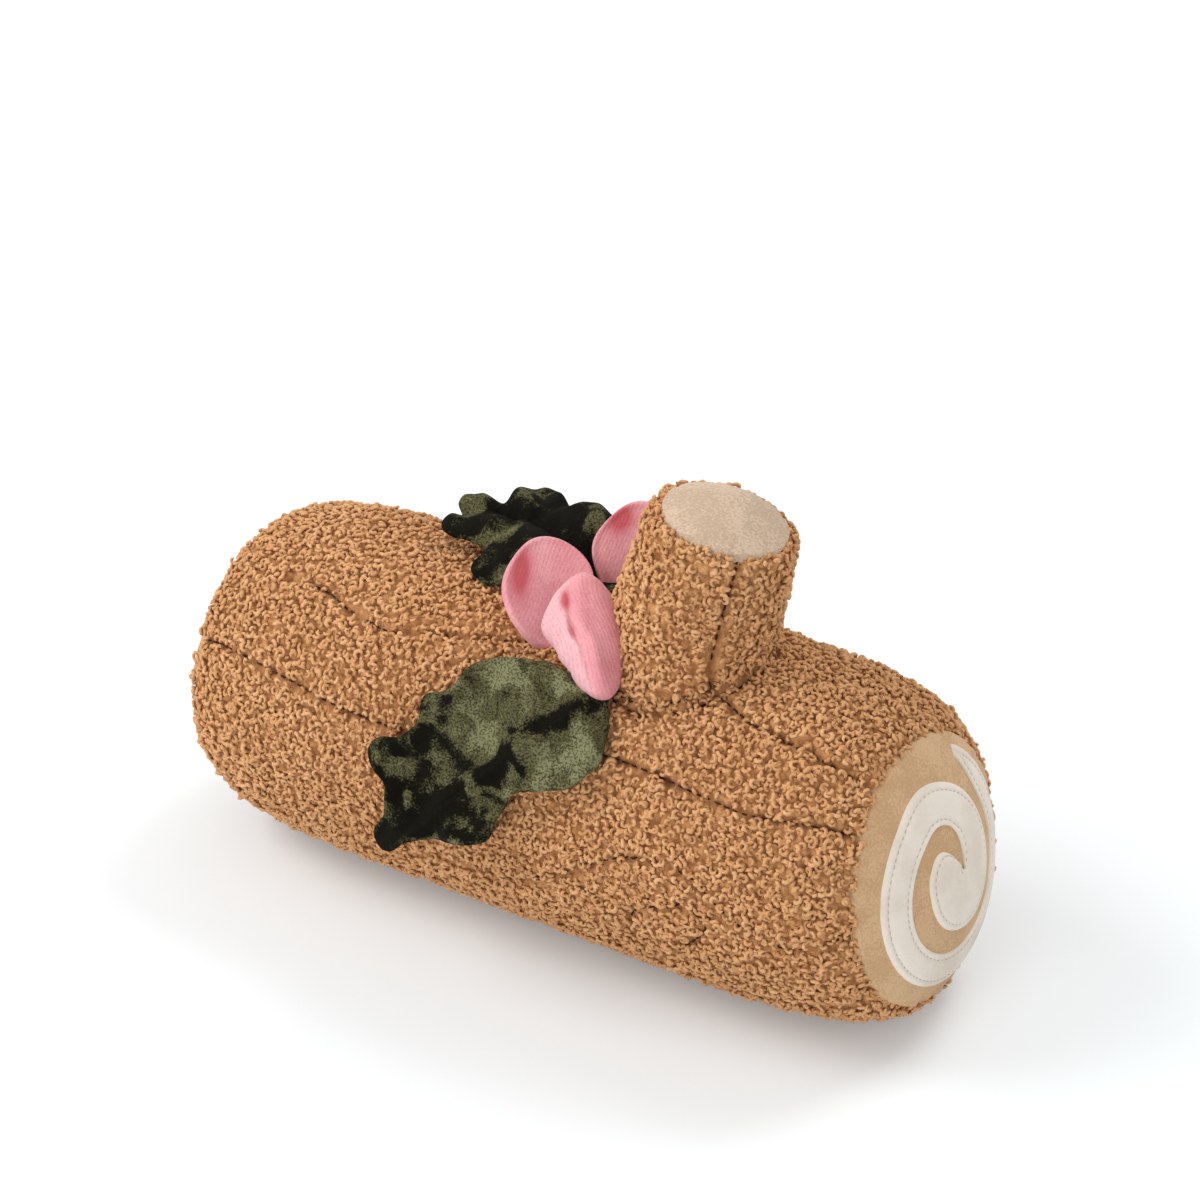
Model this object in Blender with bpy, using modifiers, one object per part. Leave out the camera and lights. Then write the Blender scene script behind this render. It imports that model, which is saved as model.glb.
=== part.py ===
"""Plush yule log: a stuffed boucle log with a branch stump, holly leaves and three berries.

The log lies along X, with its near end at +X and its front at -Y. It rests on Z = 0 on a flattened strip
whose middle is the origin. All sizes are in metres.
"""
import math

import bmesh
import bpy
import numpy as np
from mathutils import Matrix, Vector

# Driving sizes of the log
GAP = 0.0003                  # clearance between pieces that touch
LOG_RADIUS = 0.080
REST_SQUASH = 0.003           # how far the stuffed log is flattened by its own weight
LOG_LENGTH = 0.357            # from end seam to end seam
SEAM_RADIUS = 0.0602          # where the end discs are sewn in
SHOULDER_REACH = 7.0          # how late the log narrows towards its ends
SHOULDER_ROUND = 1.4
NEAR_END_LEAN = math.tan(math.radians(9.6))
LEAN_STARTS = 0.15            # as a share of the log's length from its middle
LOG_AXIS_Z = LOG_RADIUS - REST_SQUASH

# End discs and their spirals
END_DOME = 0.017
SPIRAL_THICKNESS = 0.0014
# The band's two edges, as (degrees clockwise from the top, radius in mm). They wind inwards from the
# pointed tip at the top, past an angular shoulder, and meet at the hook in the middle.
BAND_OUTER_EDGE = ((30, 56.0), (60, 55.0), (110, 54.0), (190, 51.0), (216, 49.5), (283, 49.5), (320, 48.0),
                   (345, 48.0), (376, 41.8), (405, 36.3), (437, 31.0), (510, 25.5), (573, 22.1), (630, 22.2),
                   (665, 24.0), (695, 20.5), (708, 13.0), (716, 4.5))
BAND_INNER_EDGE = ((30, 51.0), (46, 44.0), (91, 38.0), (156, 34.0), (212, 33.3), (279, 33.6), (318, 32.0),
                   (350, 29.5), (366, 24.0), (377, 16.7), (384, 9.0), (392, 4.5))

# Stump
STUMP_FOOT = Vector((0.0397, -0.0137, LOG_AXIS_Z))
STUMP_DIRECTION = Vector((0.222, 0.111, 1.0)).normalized()
STUMP_BASE_RADIUS = 0.0407
STUMP_TOP_RADIUS = 0.0346
STUMP_LENGTH = 0.1465         # along the stump, from the log's axis to the cap's seam
STUMP_BURIED_END = 0.040      # where the stump would end inside the log
CAP_RADIUS = 0.0285
CAP_DOME = 0.0078
CAP_SHOULDER = 0.012          # height of the stump's rounded top edge

# Holly leaves
LEAF_LENGTH = 0.134
LEAF_HALF_WIDTH = 0.038
LEAF_THICKNESS = 0.0085
LEAF_EDGE_SHARE = 0.45        # thickness at the edge, as a share of the full thickness
# Each leaf's upper and lower edge, lobes and notches: (along, distance from the midrib) in mm.
FRONT_LEAF_EDGES = (
    ((-2, 3), (3, 14), (12, 27), (26, 36), (38, 43), (45, 43), (51, 38), (58, 39), (66, 42), (71, 38),
     (76, 34), (84, 34), (94, 39), (101, 36), (104, 22), (107, 15), (114, 10), (122, 7), (127, 2)),
    ((-2, 3), (3, 20), (12, 28), (22, 29), (33, 24), (44, 18), (54, 19), (63, 23), (73, 27), (85, 22),
     (98, 13), (109, 8), (122, 7), (127, 2)))
BACK_LEAF_EDGES = (
    ((-2, 4), (6, 20), (18, 27), (30, 27), (42, 33), (52, 39), (61, 39), (67, 30), (71, 22), (80, 24),
     (89, 26), (94, 19), (96, 11), (99, 3)),
    ((-2, 4), (6, 22), (14, 28), (26, 32), (40, 31), (54, 27), (64, 29), (73, 31), (79, 28), (82, 12),
     (88, 6), (95, 5), (99, 3)))
LEAF_CLEARANCE = 0.0005
LEAF_LIFT = 0.007             # how far the long edges stand off the log

# Berries
BERRY_BED = 0.0885            # radius about the log's axis below which no berry reaches
BERRY_SPACING = 0.0008

# Tessellation
LOG_SIDES = 48
STUMP_SIDES = 40
DOME_RINGS = 5

COLOURS = {
    "boucle": (0.42, 0.22, 0.09),
    "suede": (0.55, 0.36, 0.21),
    "cap_suede": (0.62, 0.43, 0.28),
    "cotton": (0.80, 0.72, 0.63),
    "velvet": (0.09, 0.11, 0.05),
    "ribbed_velvet": (0.65, 0.24, 0.30),
}


def clear_scene():
    """Remove every object that the file starts with."""
    for obj in list(bpy.data.objects):
        bpy.data.objects.remove(obj, do_unlink=True)


def new_collection(name):
    """Add a collection to the scene."""
    collection = bpy.data.collections.new(name)
    bpy.context.scene.collection.children.link(collection)
    return collection


def fabric(name, roughness=0.9):
    """A plain cloth material in one of the toy's colours."""
    material = bpy.data.materials.new(name)
    material.use_nodes = True
    shader = material.node_tree.nodes["Principled BSDF"]
    shader.inputs["Base Color"].default_value = (*COLOURS[name], 1.0)
    shader.inputs["Roughness"].default_value = roughness
    shader.inputs["Metallic"].default_value = 0.0
    return material


def add_object(name, mesh, collection, material=None):
    """Link a mesh as a named object and give it its material."""
    obj = bpy.data.objects.new(name, mesh)
    collection.objects.link(obj)
    if material is not None:
        mesh.materials.clear()
        mesh.materials.append(material)
    return obj


def baked_mesh(obj):
    """The object's evaluated mesh, its doubles merged and its faces outwards; the object is removed."""
    bpy.context.view_layer.update()
    evaluated = obj.evaluated_get(bpy.context.evaluated_depsgraph_get())
    mesh = bpy.data.meshes.new_from_object(evaluated)
    mesh.transform(obj.matrix_world)
    shape = bmesh.new()
    shape.from_mesh(mesh)
    bmesh.ops.remove_doubles(shape, verts=shape.verts, dist=1e-6)
    bmesh.ops.recalc_face_normals(shape, faces=shape.faces)
    shape.to_mesh(mesh)
    shape.free()
    bpy.data.objects.remove(obj, do_unlink=True)
    return mesh


def turned_mesh(profile, sides):
    """Turn (radius, height) points about Z. They run from the top, down the outer side, to the bottom."""
    mesh = bpy.data.meshes.new("profile")
    points = [(radius, 0.0, height) for radius, height in profile]
    mesh.from_pydata(points, [(i, i + 1) for i in range(len(points) - 1)], [])
    obj = add_object("turned", mesh, bpy.context.scene.collection)
    screw = obj.modifiers.new("Turn", "SCREW")
    screw.axis = "Z"
    screw.angle = 2.0 * math.pi
    screw.steps = sides
    screw.render_steps = sides
    screw.use_merge_vertices = True
    screw.merge_threshold = 0.00001
    return baked_mesh(obj)


def move_points(mesh, rule):
    """Move every vertex of a mesh by a rule that takes and returns an array of points."""
    points = np.empty(len(mesh.vertices) * 3)
    mesh.vertices.foreach_get("co", points)
    moved = rule(points.reshape(-1, 3))
    mesh.vertices.foreach_set("co", moved.ravel())
    mesh.update()


def lean_near_end(points):
    """Tilt the log's near end: it leans back with height, more and more towards the end seam."""
    half = LOG_LENGTH / 2
    start = LOG_LENGTH * LEAN_STARTS
    share = np.clip((points[:, 0] - start) / (half - start), 0.0, 1.0) ** 2
    leaned = points.copy()
    leaned[:, 0] -= share * NEAR_END_LEAN * (points[:, 2] - LOG_AXIS_Z)
    return leaned


def lay_along_log(side):
    """Matrix that turns +Z to +X (side 1) or -X (side -1) and lifts it to the log's axis."""
    turn = Matrix.Rotation(side * math.pi / 2, 4, "Y")
    return Matrix.Translation((0, 0, LOG_AXIS_Z)) @ turn


def cut(obj, cutter):
    """Subtract a cutter with an exact Boolean."""
    boolean = obj.modifiers.new("Cut " + cutter.name, "BOOLEAN")
    boolean.operation = "DIFFERENCE"
    boolean.solver = "EXACT"
    boolean.object = cutter


def as_cutter(name, mesh, collection):
    """An object that only cuts others."""
    obj = add_object(name, mesh, collection)
    obj.hide_render = True
    obj.display_type = "WIRE"
    return obj


def log_radius_at(share, grow):
    """Radius of the log at a share (-1 to 1) of the way from its middle to an end seam."""
    swell = (1.0 - abs(share) ** SHOULDER_REACH) ** (1.0 / SHOULDER_ROUND)
    return SEAM_RADIUS + (LOG_RADIUS - SEAM_RADIUS) * swell + grow


def log_mesh(grow=0.0, trim=0.0):
    """The log's stuffed tube between its end seams, straight along Z."""
    half = LOG_LENGTH / 2 - trim
    steps = np.linspace(-1.0, 1.0, 19)
    shares = np.sign(steps) * np.abs(steps) ** 0.4
    profile = [(0.0, half)]
    profile += [(log_radius_at(share, grow), share * half) for share in shares[::-1]]
    profile += [(0.0, -half)]
    return turned_mesh(profile, LOG_SIDES)


def build_log(parts, cutters, material):
    """The boucle log, leaned at its near end and flattened where it rests."""
    mesh = log_mesh(trim=GAP / 2)
    mesh.transform(lay_along_log(1))
    move_points(mesh, lean_near_end)
    log = add_object("log_body", mesh, parts, material)
    floor = bmesh.new()
    bmesh.ops.create_cube(floor, size=1.0)
    floor_mesh = bpy.data.meshes.new("floor")
    floor.to_mesh(floor_mesh)
    floor.free()
    floor_mesh.transform(Matrix.Translation((0, 0, -0.5)))
    cut(log, as_cutter("floor_cutter", floor_mesh, cutters))


def dome_height(radius, rim, rise):
    """Height of a dome of the given rim radius and rise, as a parabola of revolution."""
    return rise * (1.0 - (radius / rim) ** 2)


def disc_mesh():
    """A domed end disc with a flat back, its back on Z = 0."""
    radii = np.linspace(0.0, SEAM_RADIUS, DOME_RINGS + 1)
    profile = [(r, GAP + dome_height(r, SEAM_RADIUS, END_DOME)) for r in radii]
    return turned_mesh(profile + [(0.0, 0.0)], LOG_SIDES)


def dome_shell_mesh(inner, outer):
    """The space between two heights above an end disc's dome."""
    radii = np.linspace(0.0, SEAM_RADIUS, DOME_RINGS + 1)
    top = [(r, outer + dome_height(r, SEAM_RADIUS, END_DOME)) for r in radii]
    under = [(r, inner + dome_height(r, SEAM_RADIUS, END_DOME)) for r in radii[::-1]]
    return turned_mesh(top + under, LOG_SIDES)


def band_edge(stations, count):
    """One edge of the band: its radius runs smoothly from station to station as the angle grows."""
    degrees, radii = np.array(stations, float).T
    turn = np.linspace(degrees[0], degrees[-1], count)
    slope = np.gradient(radii, degrees)
    at = np.clip(np.searchsorted(degrees, turn, side="right") - 1, 0, len(degrees) - 2)
    span = degrees[at + 1] - degrees[at]
    t = (turn - degrees[at]) / span
    radius = (radii[at] * (1 + 2 * t) * (1 - t) ** 2 + slope[at] * span * t * (1 - t) ** 2
              + radii[at + 1] * t * t * (3 - 2 * t) + slope[at + 1] * span * t * t * (t - 1)) / 1000.0
    angle = np.radians(turn)
    return np.stack([-radius * np.cos(angle), radius * np.sin(angle)], 1)


def spiral_outline():
    """Closed outline of the cream band: in along its outer edge to the hook, and out along its inner edge."""
    return np.concatenate([band_edge(BAND_OUTER_EDGE, 50), band_edge(BAND_INNER_EDGE, 28)[::-1]])


def spiral_mesh():
    """The band: its flat outline extruded through the dome's shell and trimmed to it."""
    curve = bpy.data.curves.new("spiral outline", "CURVE")
    curve.dimensions = "2D"
    curve.fill_mode = "BOTH"
    curve.extrude = END_DOME * 2
    outline = spiral_outline()
    spline = curve.splines.new("POLY")
    spline.points.add(len(outline) - 1)
    for point, (x, y) in zip(spline.points, outline):
        point.co = (x, y, 0.0, 1.0)
    spline.use_cyclic_u = True
    blank = bpy.data.objects.new("spiral blank", curve)
    bpy.context.scene.collection.objects.link(blank)
    band = add_object("band", baked_mesh(blank), bpy.context.scene.collection)
    shell_mesh = dome_shell_mesh(2 * GAP + 0.0002, 2 * GAP + SPIRAL_THICKNESS)
    shell = add_object("shell", shell_mesh, bpy.context.scene.collection)
    trim = band.modifiers.new("Trim to dome", "BOOLEAN")
    trim.operation = "INTERSECT"
    trim.solver = "EXACT"
    trim.object = shell
    mesh = baked_mesh(band)
    bpy.data.objects.remove(shell, do_unlink=True)
    return mesh


def build_ends(parts, suede, cotton):
    """A domed disc with its spiral on each end of the log."""
    place = Matrix.Translation((0, 0, LOG_LENGTH / 2 + GAP / 2))
    for name, side in (("near", 1), ("far", -1)):
        for piece, mesh, material in (("end_disc_", disc_mesh(), suede), ("spiral_", spiral_mesh(), cotton)):
            mesh.transform(lay_along_log(side) @ place)
            if side > 0:
                move_points(mesh, lean_near_end)
            add_object(piece + name, mesh, parts, material)


def stump_frame():
    """Matrix that stands +Z along the stump, from its foot on the log's axis."""
    turn = STUMP_DIRECTION.to_track_quat("Z", "Y").to_matrix().to_4x4()
    return Matrix.Translation(STUMP_FOOT) @ turn


def stump_radius(along):
    """Radius of the stump's side at a distance along it from the log's axis: it widens downwards."""
    top = STUMP_LENGTH - CAP_SHOULDER
    share = (top - along) / (top - STUMP_BURIED_END)
    return STUMP_TOP_RADIUS + (STUMP_BASE_RADIUS - STUMP_TOP_RADIUS) * share


def stump_profile():
    """The stump's side, from its cap seam over a rounded edge down to its foot."""
    bends = np.linspace(0.0, math.pi / 2, 5)
    shoulder_drop = STUMP_TOP_RADIUS - CAP_RADIUS
    points = [(0.0, STUMP_LENGTH)]
    for bend in bends:
        radius = CAP_RADIUS + shoulder_drop * math.sin(bend)
        points.append((radius, STUMP_LENGTH - CAP_SHOULDER * (1.0 - math.cos(bend))))
    for along in np.linspace(STUMP_LENGTH - CAP_SHOULDER, STUMP_BURIED_END, 5)[1:]:
        points.append((stump_radius(along), along))
    return points + [(0.0, STUMP_BURIED_END)]


def build_stump(parts, cutters, boucle, suede):
    """The branch stump, cut to the log's curve, and the domed cap on top of it."""
    stump_mesh = turned_mesh(stump_profile(), STUMP_SIDES)
    stump_mesh.transform(stump_frame())
    stump = add_object("stump", stump_mesh, parts, boucle)
    log_cutter_mesh = log_mesh(grow=GAP)
    log_cutter_mesh.transform(lay_along_log(1))
    cut(stump, as_cutter("log_cutter", log_cutter_mesh, cutters))
    radii = np.linspace(0.0, CAP_RADIUS, DOME_RINGS)
    dome = [(r, STUMP_LENGTH + 2 * GAP + dome_height(r, CAP_RADIUS, CAP_DOME)) for r in radii]
    cap_mesh = turned_mesh(dome + [(0.0, STUMP_LENGTH + GAP)], STUMP_SIDES)
    cap_mesh.transform(stump_frame())
    add_object("stump_cap", cap_mesh, parts, suede)


def leaf_across(edges, along, side):
    """Place across a leaf: a share of the way from its midrib to the edge on that side."""
    upper, lower = (np.array(edge).T * 0.001 for edge in edges)
    reach = np.where(side < 0.0, np.interp(along, *upper), np.interp(along, *lower))
    return side * reach


def wrap_on_log(x, arc, height):
    """Points at a height over the log: round its front to 75 degrees, then hanging straight down."""
    hang_from = math.radians(75.0)
    radius = LOG_RADIUS + height
    angle = np.minimum(arc / LOG_RADIUS, hang_from)
    hang = np.maximum(arc - LOG_RADIUS * hang_from, 0.0)
    y = -radius * np.sin(angle) - hang * math.cos(hang_from)
    z = LOG_AXIS_Z + radius * np.cos(angle) - hang * math.sin(hang_from)
    return np.stack([x, y, z], 1)


def front_leaf_sheet(along, across):
    """Middle of the front leaf: from the berries down the log's front, its long edges standing proud."""
    base_x, base_arc = 0.038, 0.054
    way_x, way_arc = -0.697, 0.717
    x = base_x + along * way_x + across * way_arc
    arc = base_arc + along * way_arc - across * way_x
    lift = LEAF_LIFT * (across / LEAF_HALF_WIDTH) ** 2 * (along / LEAF_LENGTH)
    return wrap_on_log(x, arc, LEAF_CLEARANCE + LEAF_THICKNESS / 2 + lift)


def back_leaf_sheet(along, across):
    """Middle of the back leaf: it starts on the log's top and stands out stiffly behind it."""
    base_x, base_y = 0.014, 0.016
    x = base_x - along * 0.991 + across * 0.13
    y = base_y + along * 0.13 + across * 0.991
    height = LEAF_CLEARANCE + LEAF_THICKNESS / 2
    laid = wrap_on_log(x, -y, height)
    rise = 1.0 - (1.0 - np.clip((y + 0.016) / 0.055, 0.0, 1.0)) ** 2
    bed = LOG_AXIS_Z + np.sqrt(np.maximum(LOG_RADIUS ** 2 - y ** 2, 0.0)) + height
    stiff = np.stack([x, y, np.maximum(0.158 + 0.014 * rise, bed)], 1)
    free = np.clip((along - 0.023) / 0.035, 0.0, 1.0)
    free = (free * free * (3.0 - 2.0 * free))[:, None]
    return laid * (1.0 - free) + stiff * free


def leaf_mesh(sheet, edges):
    """A padded leaf: a grid laid out as the blade, thickest in the middle of each half."""
    rows, columns = 24, 8
    shape = bmesh.new()
    bmesh.ops.create_grid(shape, x_segments=rows, y_segments=columns, size=0.5)
    grid = bpy.data.meshes.new("leaf grid")
    shape.to_mesh(grid)
    shape.free()
    flat = np.empty(len(grid.vertices) * 3)
    grid.vertices.foreach_get("co", flat)
    flat = flat.reshape(-1, 3)
    share = flat[:, 0] + 0.5
    side = flat[:, 1] * 2.0
    first, last = edges[0][0][0] * 0.001, edges[0][-1][0] * 0.001
    along = first + share * (last - first)
    across = leaf_across(edges, along, side)
    grid.vertices.foreach_set("co", sheet(along, across).ravel())
    grid.update()
    obj = add_object("leaf", grid, bpy.context.scene.collection)
    padding = obj.vertex_groups.new(name="padding")
    swell = LEAF_EDGE_SHARE + (1.0 - LEAF_EDGE_SHARE) * np.sin(math.pi * np.abs(side)) ** 0.6
    swell *= np.clip(0.35 + share / 0.5, 0.0, 1.0)
    for index, weight in enumerate(swell):
        padding.add([index], float(weight), "REPLACE")
    thick = obj.modifiers.new("Padding", "SOLIDIFY")
    thick.thickness = LEAF_THICKNESS
    thick.offset = 0.0
    thick.vertex_group = "padding"
    return baked_mesh(obj)


def build_leaves(parts, material):
    """The two padded holly leaves."""
    add_object("leaf_front", leaf_mesh(front_leaf_sheet, FRONT_LEAF_EDGES), parts, material)
    add_object("leaf_back", leaf_mesh(back_leaf_sheet, BACK_LEAF_EDGES), parts, material)


def pressed(points, foot, direction, radius_at):
    """Push points that lie inside a round bar out to its surface, straight away from its axis."""
    foot, direction = np.array(foot), np.array(direction)
    along = (points - foot) @ direction
    middle = foot + along[:, None] * direction
    radial = points - middle
    radius = np.linalg.norm(radial, axis=1)
    return middle + radial * np.maximum(radius_at(along) / radius, 1.0)[:, None]


def berry_mesh(centre, rise, half_length, half_width, half_thickness, turn, cup, point):
    """A puffed disc: a sphere flattened along its normal, cupped, and drawn to a point at its ends.

    rise is the direction of its long axis, and turn swings its face about that axis. Where it would
    reach into its bed or the stump, it is pressed flat against them.
    """
    shape = bmesh.new()
    bmesh.ops.create_uvsphere(shape, u_segments=20, v_segments=12, radius=1.0)
    mesh = bpy.data.meshes.new("berry")
    shape.to_mesh(mesh)
    shape.free()
    upright = Vector(rise).normalized()
    viewer = Vector((0.4618, -0.7221, 0.5150))
    face = (viewer - upright * viewer.dot(upright)).normalized()
    face.rotate(Matrix.Rotation(turn, 3, upright))
    sideways = face.cross(upright)
    axes = np.array([sideways, face, upright])

    def puff(points):
        length_share = points[:, 2]
        narrow = 1.0 - point * length_share ** 2
        across = points[:, 0] * narrow * half_width
        depth = points[:, 1] * half_thickness - cup * (points[:, 0] * narrow) ** 2
        placed = np.array(centre) + np.stack([across, depth, length_share * half_length], 1) @ axes
        placed = pressed(placed, (0.0, 0.0, LOG_AXIS_Z), (1.0, 0.0, 0.0), lambda along: BERRY_BED)
        return pressed(placed, STUMP_FOOT, STUMP_DIRECTION, lambda along: stump_radius(along) + BERRY_SPACING)

    move_points(mesh, puff)
    return mesh


BERRIES = {
    "berry_front": dict(centre=(0.0255, -0.0385, 0.1665), rise=(-0.58, 0.565, 0.597), half_length=0.0310,
                        half_width=0.0185, half_thickness=0.0105, turn=0.0, cup=0.006, point=0.35),
    "berry_left": dict(centre=(-0.0130, -0.0140, 0.1690), rise=(-0.39, 0.63, 0.67), half_length=0.0265,
                       half_width=0.0200, half_thickness=0.0065, turn=0.30, cup=-0.006, point=0.10),
    "berry_back": dict(centre=(0.0080, 0.0225, 0.1730), rise=(-0.10, 0.60, 0.80), half_length=0.0265,
                       half_width=0.0190, half_thickness=0.0065, turn=-0.1, cup=-0.005, point=0.10),
}


def build_berries(parts, material):
    """Three puffed berries that crowd each other."""
    for name, sizes in BERRIES.items():
        add_object(name, berry_mesh(**sizes), parts, material)


def shade(parts):
    """Smooth shading with sharp edges where faces meet steeply."""
    for obj in parts.objects:
        obj.data.shade_smooth()
        obj.data.set_sharp_from_angle(angle=math.radians(50.0))


def main():
    """Build every sub-part and shade it smooth."""
    clear_scene()
    parts = new_collection("plush_yule_log")
    cutters = new_collection("cutters")
    boucle = fabric("boucle")
    build_log(parts, cutters, boucle)
    build_ends(parts, fabric("suede"), fabric("cotton"))
    build_stump(parts, cutters, boucle, fabric("cap_suede"))
    build_leaves(parts, fabric("velvet", roughness=0.6))
    build_berries(parts, fabric("ribbed_velvet", roughness=0.7))
    shade(parts)


main()
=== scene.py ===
"""Looks of the plush yule log: curly boucle, suede ends with cream spirals, velvet holly and pink berries.

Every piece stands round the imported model, in metres, in its frame: the log lies along X with its near
end at +X, its front at -Y, and rests on Z = 0.
"""
from __future__ import annotations

import logging
import math
from dataclasses import dataclass, field
from enum import Enum

import bpy
import numpy as np
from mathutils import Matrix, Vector


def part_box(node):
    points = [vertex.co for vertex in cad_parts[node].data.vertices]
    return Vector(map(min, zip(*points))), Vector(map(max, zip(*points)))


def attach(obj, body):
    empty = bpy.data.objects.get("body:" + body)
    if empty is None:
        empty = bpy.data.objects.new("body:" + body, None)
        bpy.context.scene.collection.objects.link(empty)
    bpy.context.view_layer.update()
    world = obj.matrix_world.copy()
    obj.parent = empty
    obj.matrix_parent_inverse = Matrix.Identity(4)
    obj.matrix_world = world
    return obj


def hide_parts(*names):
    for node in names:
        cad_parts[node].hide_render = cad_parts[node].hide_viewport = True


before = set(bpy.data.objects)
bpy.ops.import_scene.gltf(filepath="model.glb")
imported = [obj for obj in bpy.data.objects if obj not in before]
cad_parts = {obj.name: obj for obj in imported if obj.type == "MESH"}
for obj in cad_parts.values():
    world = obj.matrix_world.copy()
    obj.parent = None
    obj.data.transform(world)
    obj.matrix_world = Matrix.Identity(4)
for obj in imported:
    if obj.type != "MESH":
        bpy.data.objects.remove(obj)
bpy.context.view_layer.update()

Array = np.ndarray
Piece = bpy.types.Object
Material = bpy.types.Material
Socket = bpy.types.NodeSocket
Triple = tuple[float, float, float]
LOG = logging.getLogger("plush_log")
MM = 0.001
TAU = 2.0 * math.pi


class Slot(Enum):
    """Material slots of the record; no piece here is given one."""

    BOUCLE = "boucle"
    SUEDE = "suede"
    CAP_SUEDE = "cap_suede"
    COTTON = "cotton"
    VELVET = "velvet"
    RIBBED_VELVET = "ribbed_velvet"
    THREAD = "thread"


class End(Enum):
    """The two ends of the log, with the side of X each looks to."""

    NEAR = 1
    FAR = -1


# --- Numbers and meshes ---


def unit(vectors: Array) -> Array:
    """Vectors of length one: each divided by its own length."""
    return vectors / np.maximum(np.linalg.norm(vectors, axis=-1, keepdims=True), 1e-12)


def smoothstep(low: float, high: float, value: Array) -> Array:
    """The smooth rise 3t^2 - 2t^3 of a value from low to high."""
    t = np.clip((value - low) / (high - low), 0.0, 1.0)
    return t * t * (3.0 - 2.0 * t)


def lengths_along(line: Array) -> Array:
    """Length from a line's first point to each of its points."""
    return np.concatenate([[0.0], np.cumsum(np.linalg.norm(np.diff(line, axis=0), axis=1))])


def read_line(at: Array, reach: Array, line: Array) -> Array:
    """Points of a line at some lengths along it, where reach is the length to each of its points."""
    return np.stack([np.interp(at, reach, column) for column in line.T], -1)


def flowing_line(points: tuple, count: int, closed: bool = False) -> Array:
    """A smooth curve through given points.

    Each stretch is the Catmull-Rom cubic of its two ends and their neighbours, and the result is
    spread evenly by length.

    Args:
        points: Points of any dimension, in order.
        count: How many points to return.
        closed: Whether the last point leads back to the first.

    Returns:
        The curve's points, one a row.
    """
    knots = np.array(points, float)
    if closed:
        knots = np.concatenate([knots[-1:], knots, knots[:2]])
    else:
        knots = np.concatenate([2 * knots[:1] - knots[1:2], knots, 2 * knots[-1:] - knots[-2:-1]])
    t = np.linspace(0.0, 1.0, 24, endpoint=False)[None, :, None]
    a, b, c, d = (knots[i:len(knots) - 3 + i, None, :] for i in range(4))
    curve = 0.5 * (2 * b + (c - a) * t + (2 * a - 5 * b + 4 * c - d) * t ** 2
                   + (3 * b - a - 3 * c + d) * t ** 3)
    curve = np.concatenate([curve.reshape(-1, knots.shape[1]), knots[-2:-1]])
    length = lengths_along(curve)
    return read_line(np.linspace(0.0, length[-1], count, endpoint=not closed), length, curve)


def grid_faces(rows: int, columns: int, wrap_rows: bool = False, wrap_columns: bool = False) -> Array:
    """Quads of a grid of points numbered row by row.

    Args:
        rows: How many rows of points.
        columns: How many points in a row.
        wrap_rows: Whether the last row joins the first.
        wrap_columns: Whether the last point of a row joins its first.

    Returns:
        An array of four point numbers a face.
    """
    i = np.arange(rows if wrap_rows else rows - 1)[:, None]
    j = np.arange(columns if wrap_columns else columns - 1)[None, :]
    i2, j2 = (i + 1) % rows, (j + 1) % columns
    quads = [i * columns + j, i2 * columns + j, i2 * columns + j2, i * columns + j2]
    return np.stack(quads, -1).reshape(-1, 4)


def grid_map(rows: int, columns: int, wrap_rows: bool = False, wrap_columns: bool = False) -> Array:
    """Flat places from 0 to 1 of each quad's corners, in the order of grid_faces.

    Args:
        rows: How many rows of points.
        columns: How many points in a row.
        wrap_rows: Whether the last row joins the first.
        wrap_columns: Whether the last point of a row joins its first.

    Returns:
        Faces by four corners by two.
    """
    high = rows if wrap_rows else rows - 1
    wide = columns if wrap_columns else columns - 1
    i, j = np.meshgrid(np.arange(high), np.arange(wide), indexing="ij")
    corners = ((i, j), (i + 1, j), (i + 1, j + 1), (i, j + 1))
    return np.stack([np.stack([a / high, b / wide], -1) for a, b in corners], 2).reshape(-1, 4, 2)


def new_object(name: str, data: bpy.types.ID) -> Piece:
    """A new object in the scene.

    Args:
        name: The object's name.
        data: Its mesh, lamp or camera.

    Returns:
        The linked object.
    """
    piece = bpy.data.objects.new(name, data)
    bpy.context.scene.collection.objects.link(piece)
    return piece


def new_mesh_object(name: str, points: Array, faces: Array, triangles: Array | None = None,
                    flat_map: Array | None = None) -> Piece:
    """A smooth-shaded object at the origin whose place is in its mesh.

    Args:
        name: The piece's name.
        points: Its vertices.
        faces: Its quads.
        triangles: Extra three-cornered faces, such as a pole's fan.
        flat_map: Places of the face corners on the piece's own flat map.

    Returns:
        The linked object.
    """
    points = points.reshape(-1, 3)
    corners = faces.ravel()
    totals = np.full(len(faces), 4)
    if triangles is not None:
        corners = np.concatenate([corners, triangles.ravel()])
        totals = np.concatenate([totals, np.full(len(triangles), 3)])
    mesh = bpy.data.meshes.new(name)
    mesh.vertices.add(len(points))
    mesh.vertices.foreach_set("co", points.astype(np.float32).ravel())
    mesh.loops.add(len(corners))
    mesh.loops.foreach_set("vertex_index", corners.astype(np.int32))
    mesh.polygons.add(len(totals))
    starts = np.concatenate([[0], np.cumsum(totals)[:-1]])
    mesh.polygons.foreach_set("loop_start", starts.astype(np.int32))
    mesh.polygons.foreach_set("loop_total", totals.astype(np.int32))
    mesh.update(calc_edges=True)
    if flat_map is not None:
        layer = mesh.uv_layers.new(name="OFBake")
        layer.data.foreach_set("uv", flat_map.astype(np.float32).ravel())
    mesh.shade_smooth()
    return new_object(name, mesh)


def set_values(piece: Piece, name: str, values: Array) -> None:
    """Store one number a vertex on a piece, for its material to read."""
    layer = piece.data.attributes.new(name, "FLOAT", "POINT")
    layer.data.foreach_set("value", values.astype(np.float32).ravel())


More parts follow.
